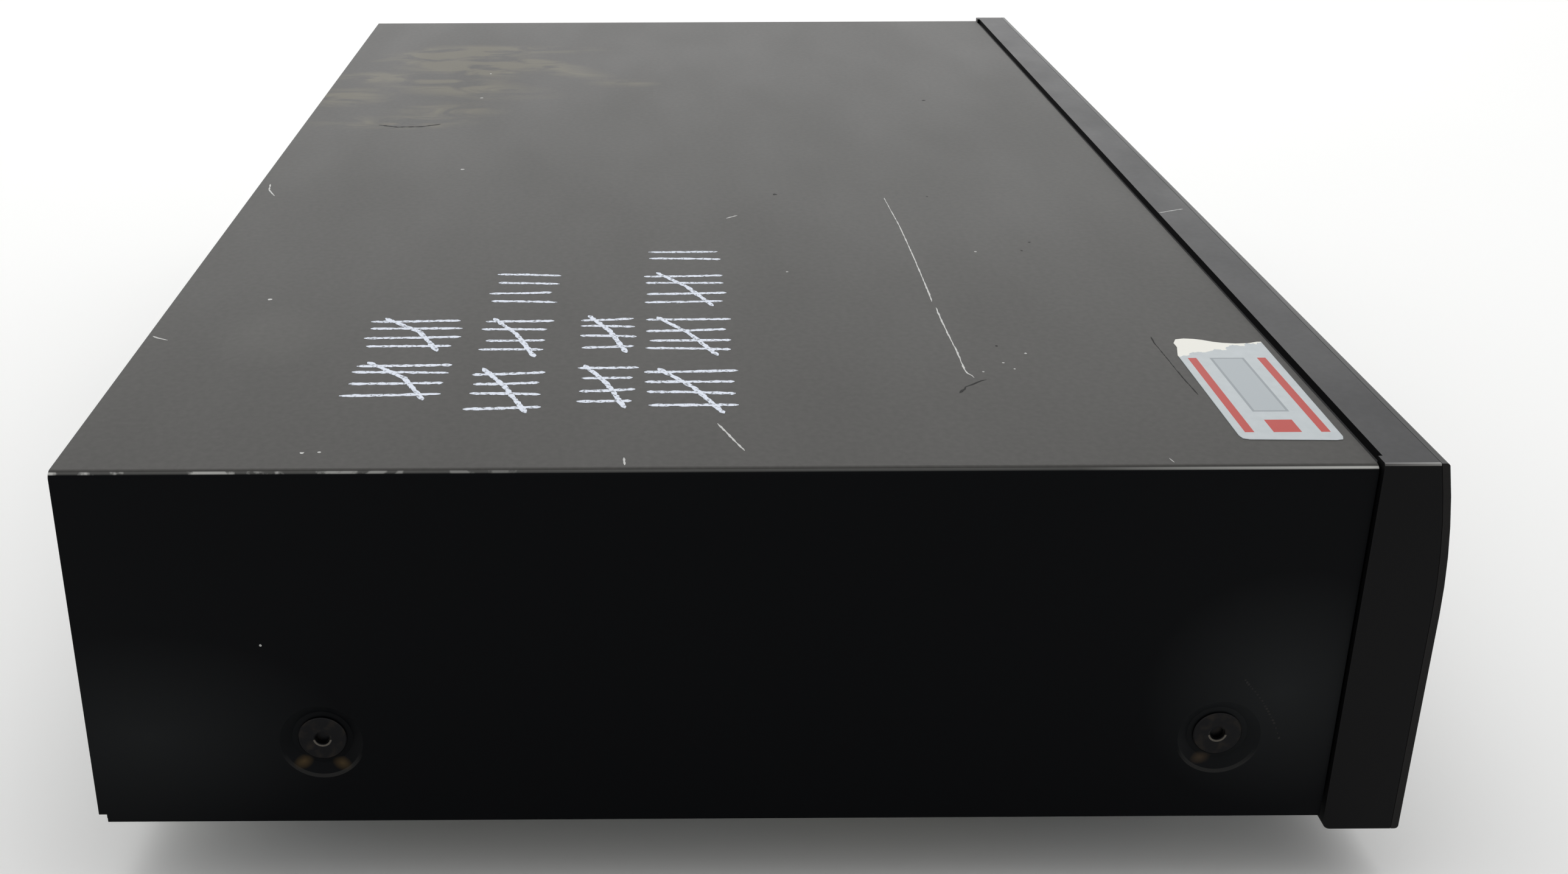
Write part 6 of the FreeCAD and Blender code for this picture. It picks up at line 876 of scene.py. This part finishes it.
piece_from("torn_label", label_sheet, silvered_paper())
piece_from("tally_strokes", tally_marks, white_wax_pencil())
piece_from("pale_scratches_and_side_glint", scratches_and_side_glint, scored_enamel())
piece_from("dark_rub_marks", dark_marks, FINISHES["rubber"])
screws = piece_from("dressed_cover_screws", cover_screw_set, FINISHES["screw"])
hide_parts("cover_screws")
# Dark crosses of painted shade on the pan heads
piece_from("shaded_screw_crosses", cross_recess_shade, FINISHES["rubber"])
# A brownish painted highlight on the sockets' lower rims
rim_highlight_ink = printed_ink("painted_rim_highlight", "#3f3a33", "#5d574d")
piece_from("lit_socket_rims", socket_rim_highlights, rim_highlight_ink)
ink = printed_ink("pale_grey_ink", "#a5a7a9", "#b9b9b6")
for key, outlines in KEY_SIGNS.items():
    piece_from(key + "_sign", face_sign(key, outlines), ink, body=key)
power_face = face_sign("power_button", POWER_SIGN)
piece_from("power_sign", power_face, ink, body="power_button")
phosphor = printed_ink("unlit_phosphor", "#5d6a66", "#66736f")
piece_from("unlit_segments", display_segments, phosphor)
for name, colour, places in (
        ("red_collars", "#8e1f1c", [(x, LOW_ROW) for x in JACK_COLUMNS]),
        ("white_collars", "#c9c8c2", [(x, HIGH_ROW) for x in JACK_COLUMNS]),
        ("orange_collar", "#b5651d", [(DIGITAL_JACK_X, LOW_ROW)])):
    piece_from(name, collars(places), moulded(name + "_plastic", colour, colour, 0.4))
piece_from("gold_contacts", contact_wires, FINISHES["gold"])


# Stage, camera and light

FLOOR_REACH = 6.0


def plain_floor():
    """A flat square; its reach is in metres."""
    drawn = bmesh.new()
    bmesh.ops.create_grid(drawn, x_segments=1, y_segments=1, size=FLOOR_REACH)
    made = meshed("floor", drawn, studio_floor())


# The sensor's width in millimetres, and the camera's place to the left of the cover's middle, behind
# its seam and above its top
SENSOR_WIDTH = 36.0
CAMERA_LEFT, CAMERA_BEHIND_SEAM, CAMERA_ABOVE_TOP = 509.53, 147.79, 153.37


def photo_camera():
    """The camera's place, tilt and framing, worked out from the cover's corners in the photograph."""
    data = bpy.data.cameras.new("camera")
    made = placed("camera", data)
    wide, tall = 2576, 1436
    focal_pixels, centre_across, centre_down = 2661.4, 1077.2, 450.0
    data.sensor_width = SENSOR_WIDTH
    data.lens = focal_pixels / wide * SENSOR_WIDTH
    data.shift_x = (wide / 2 - centre_across) / wide
    data.shift_y = (centre_down - tall / 2) / wide
    pitch, yaw, roll = math.radians(20.768), math.radians(-0.203), math.radians(-0.186)
    forward = Vector((math.cos(pitch) * math.cos(yaw), math.cos(pitch) * math.sin(yaw), -math.sin(pitch)))
    right = forward.cross(Vector((0, 0, 1))).normalized()
    up = right.cross(forward)
    leaned_right = right * math.cos(roll) + up * math.sin(roll)
    leaned_up = up * math.cos(roll) - right * math.sin(roll)
    place = Vector((-CAMERA_LEFT, SEAM_Y + CAMERA_BEHIND_SEAM, TOP_Z + CAMERA_ABOVE_TOP)) * MM
    turn = Matrix((leaned_right, leaned_up, -forward)).transposed().to_4x4()
    made.matrix_world = Matrix.Translation(place) @ turn
    bpy.context.scene.camera = made


# Each lamp's name, place, target and size, all in metres, and its watts
LAMPS = (("overhead", (0.2, 0.1, 1.5), (0, 0, 0.1), (1.4, 1.4), 6),
         ("far_window", (2.0, 0.0, 1.1), (0, 0, 0.1), (2.6, 1.6), 17))


def soft_lamp(name, place, target, size, watts):
    """A wide soft lamp that the camera doesn't see."""
    data = bpy.data.lights.new(name, "AREA")
    data.shape = "RECTANGLE"
    data.size, data.size_y = size
    data.energy = watts
    made = placed(name, data)
    made.location = place
    made.rotation_euler = (Vector(target) - Vector(place)).to_track_quat("-Z", "Y").to_euler()
    made.visible_camera = False


def studio_world():
    """White to the eye, in metal and through glass; as light it fades towards -X, as from a window."""
    world = bpy.data.worlds.new("studio")
    bpy.context.scene.world = world
    world.use_nodes = True
    tree = world.node_tree
    tree.nodes.clear()
    place = add(tree, "ShaderNodeTexCoord").node.outputs["Generated"]
    way = add(tree, "ShaderNodeSeparateXYZ", [place])
    fading = add(tree, "ShaderNodeMapRange", [way, -0.6, 0.5, 0.35, 1.0])
    light = add(tree, "ShaderNodeBackground", ["#ffffff", fading])
    white = add(tree, "ShaderNodeBackground", ["#ffffff", 1.0])
    rays = add(tree, "ShaderNodeLightPath").node.outputs
    seen = add(tree, "ShaderNodeMath", [rays["Is Camera Ray"], rays["Is Glossy Ray"]], operation="MAXIMUM")
    shown = add(tree, "ShaderNodeMath", [seen, rays["Is Transmission Ray"]], operation="MAXIMUM")
    mixed = add(tree, "ShaderNodeMixShader", [shown, light, white])
    add(tree, "ShaderNodeOutputWorld", [mixed])


plain_floor()
photo_camera()
for lamp in LAMPS:
    soft_lamp(*lamp)
studio_world()
bpy.context.scene.view_settings.view_transform = "Standard"
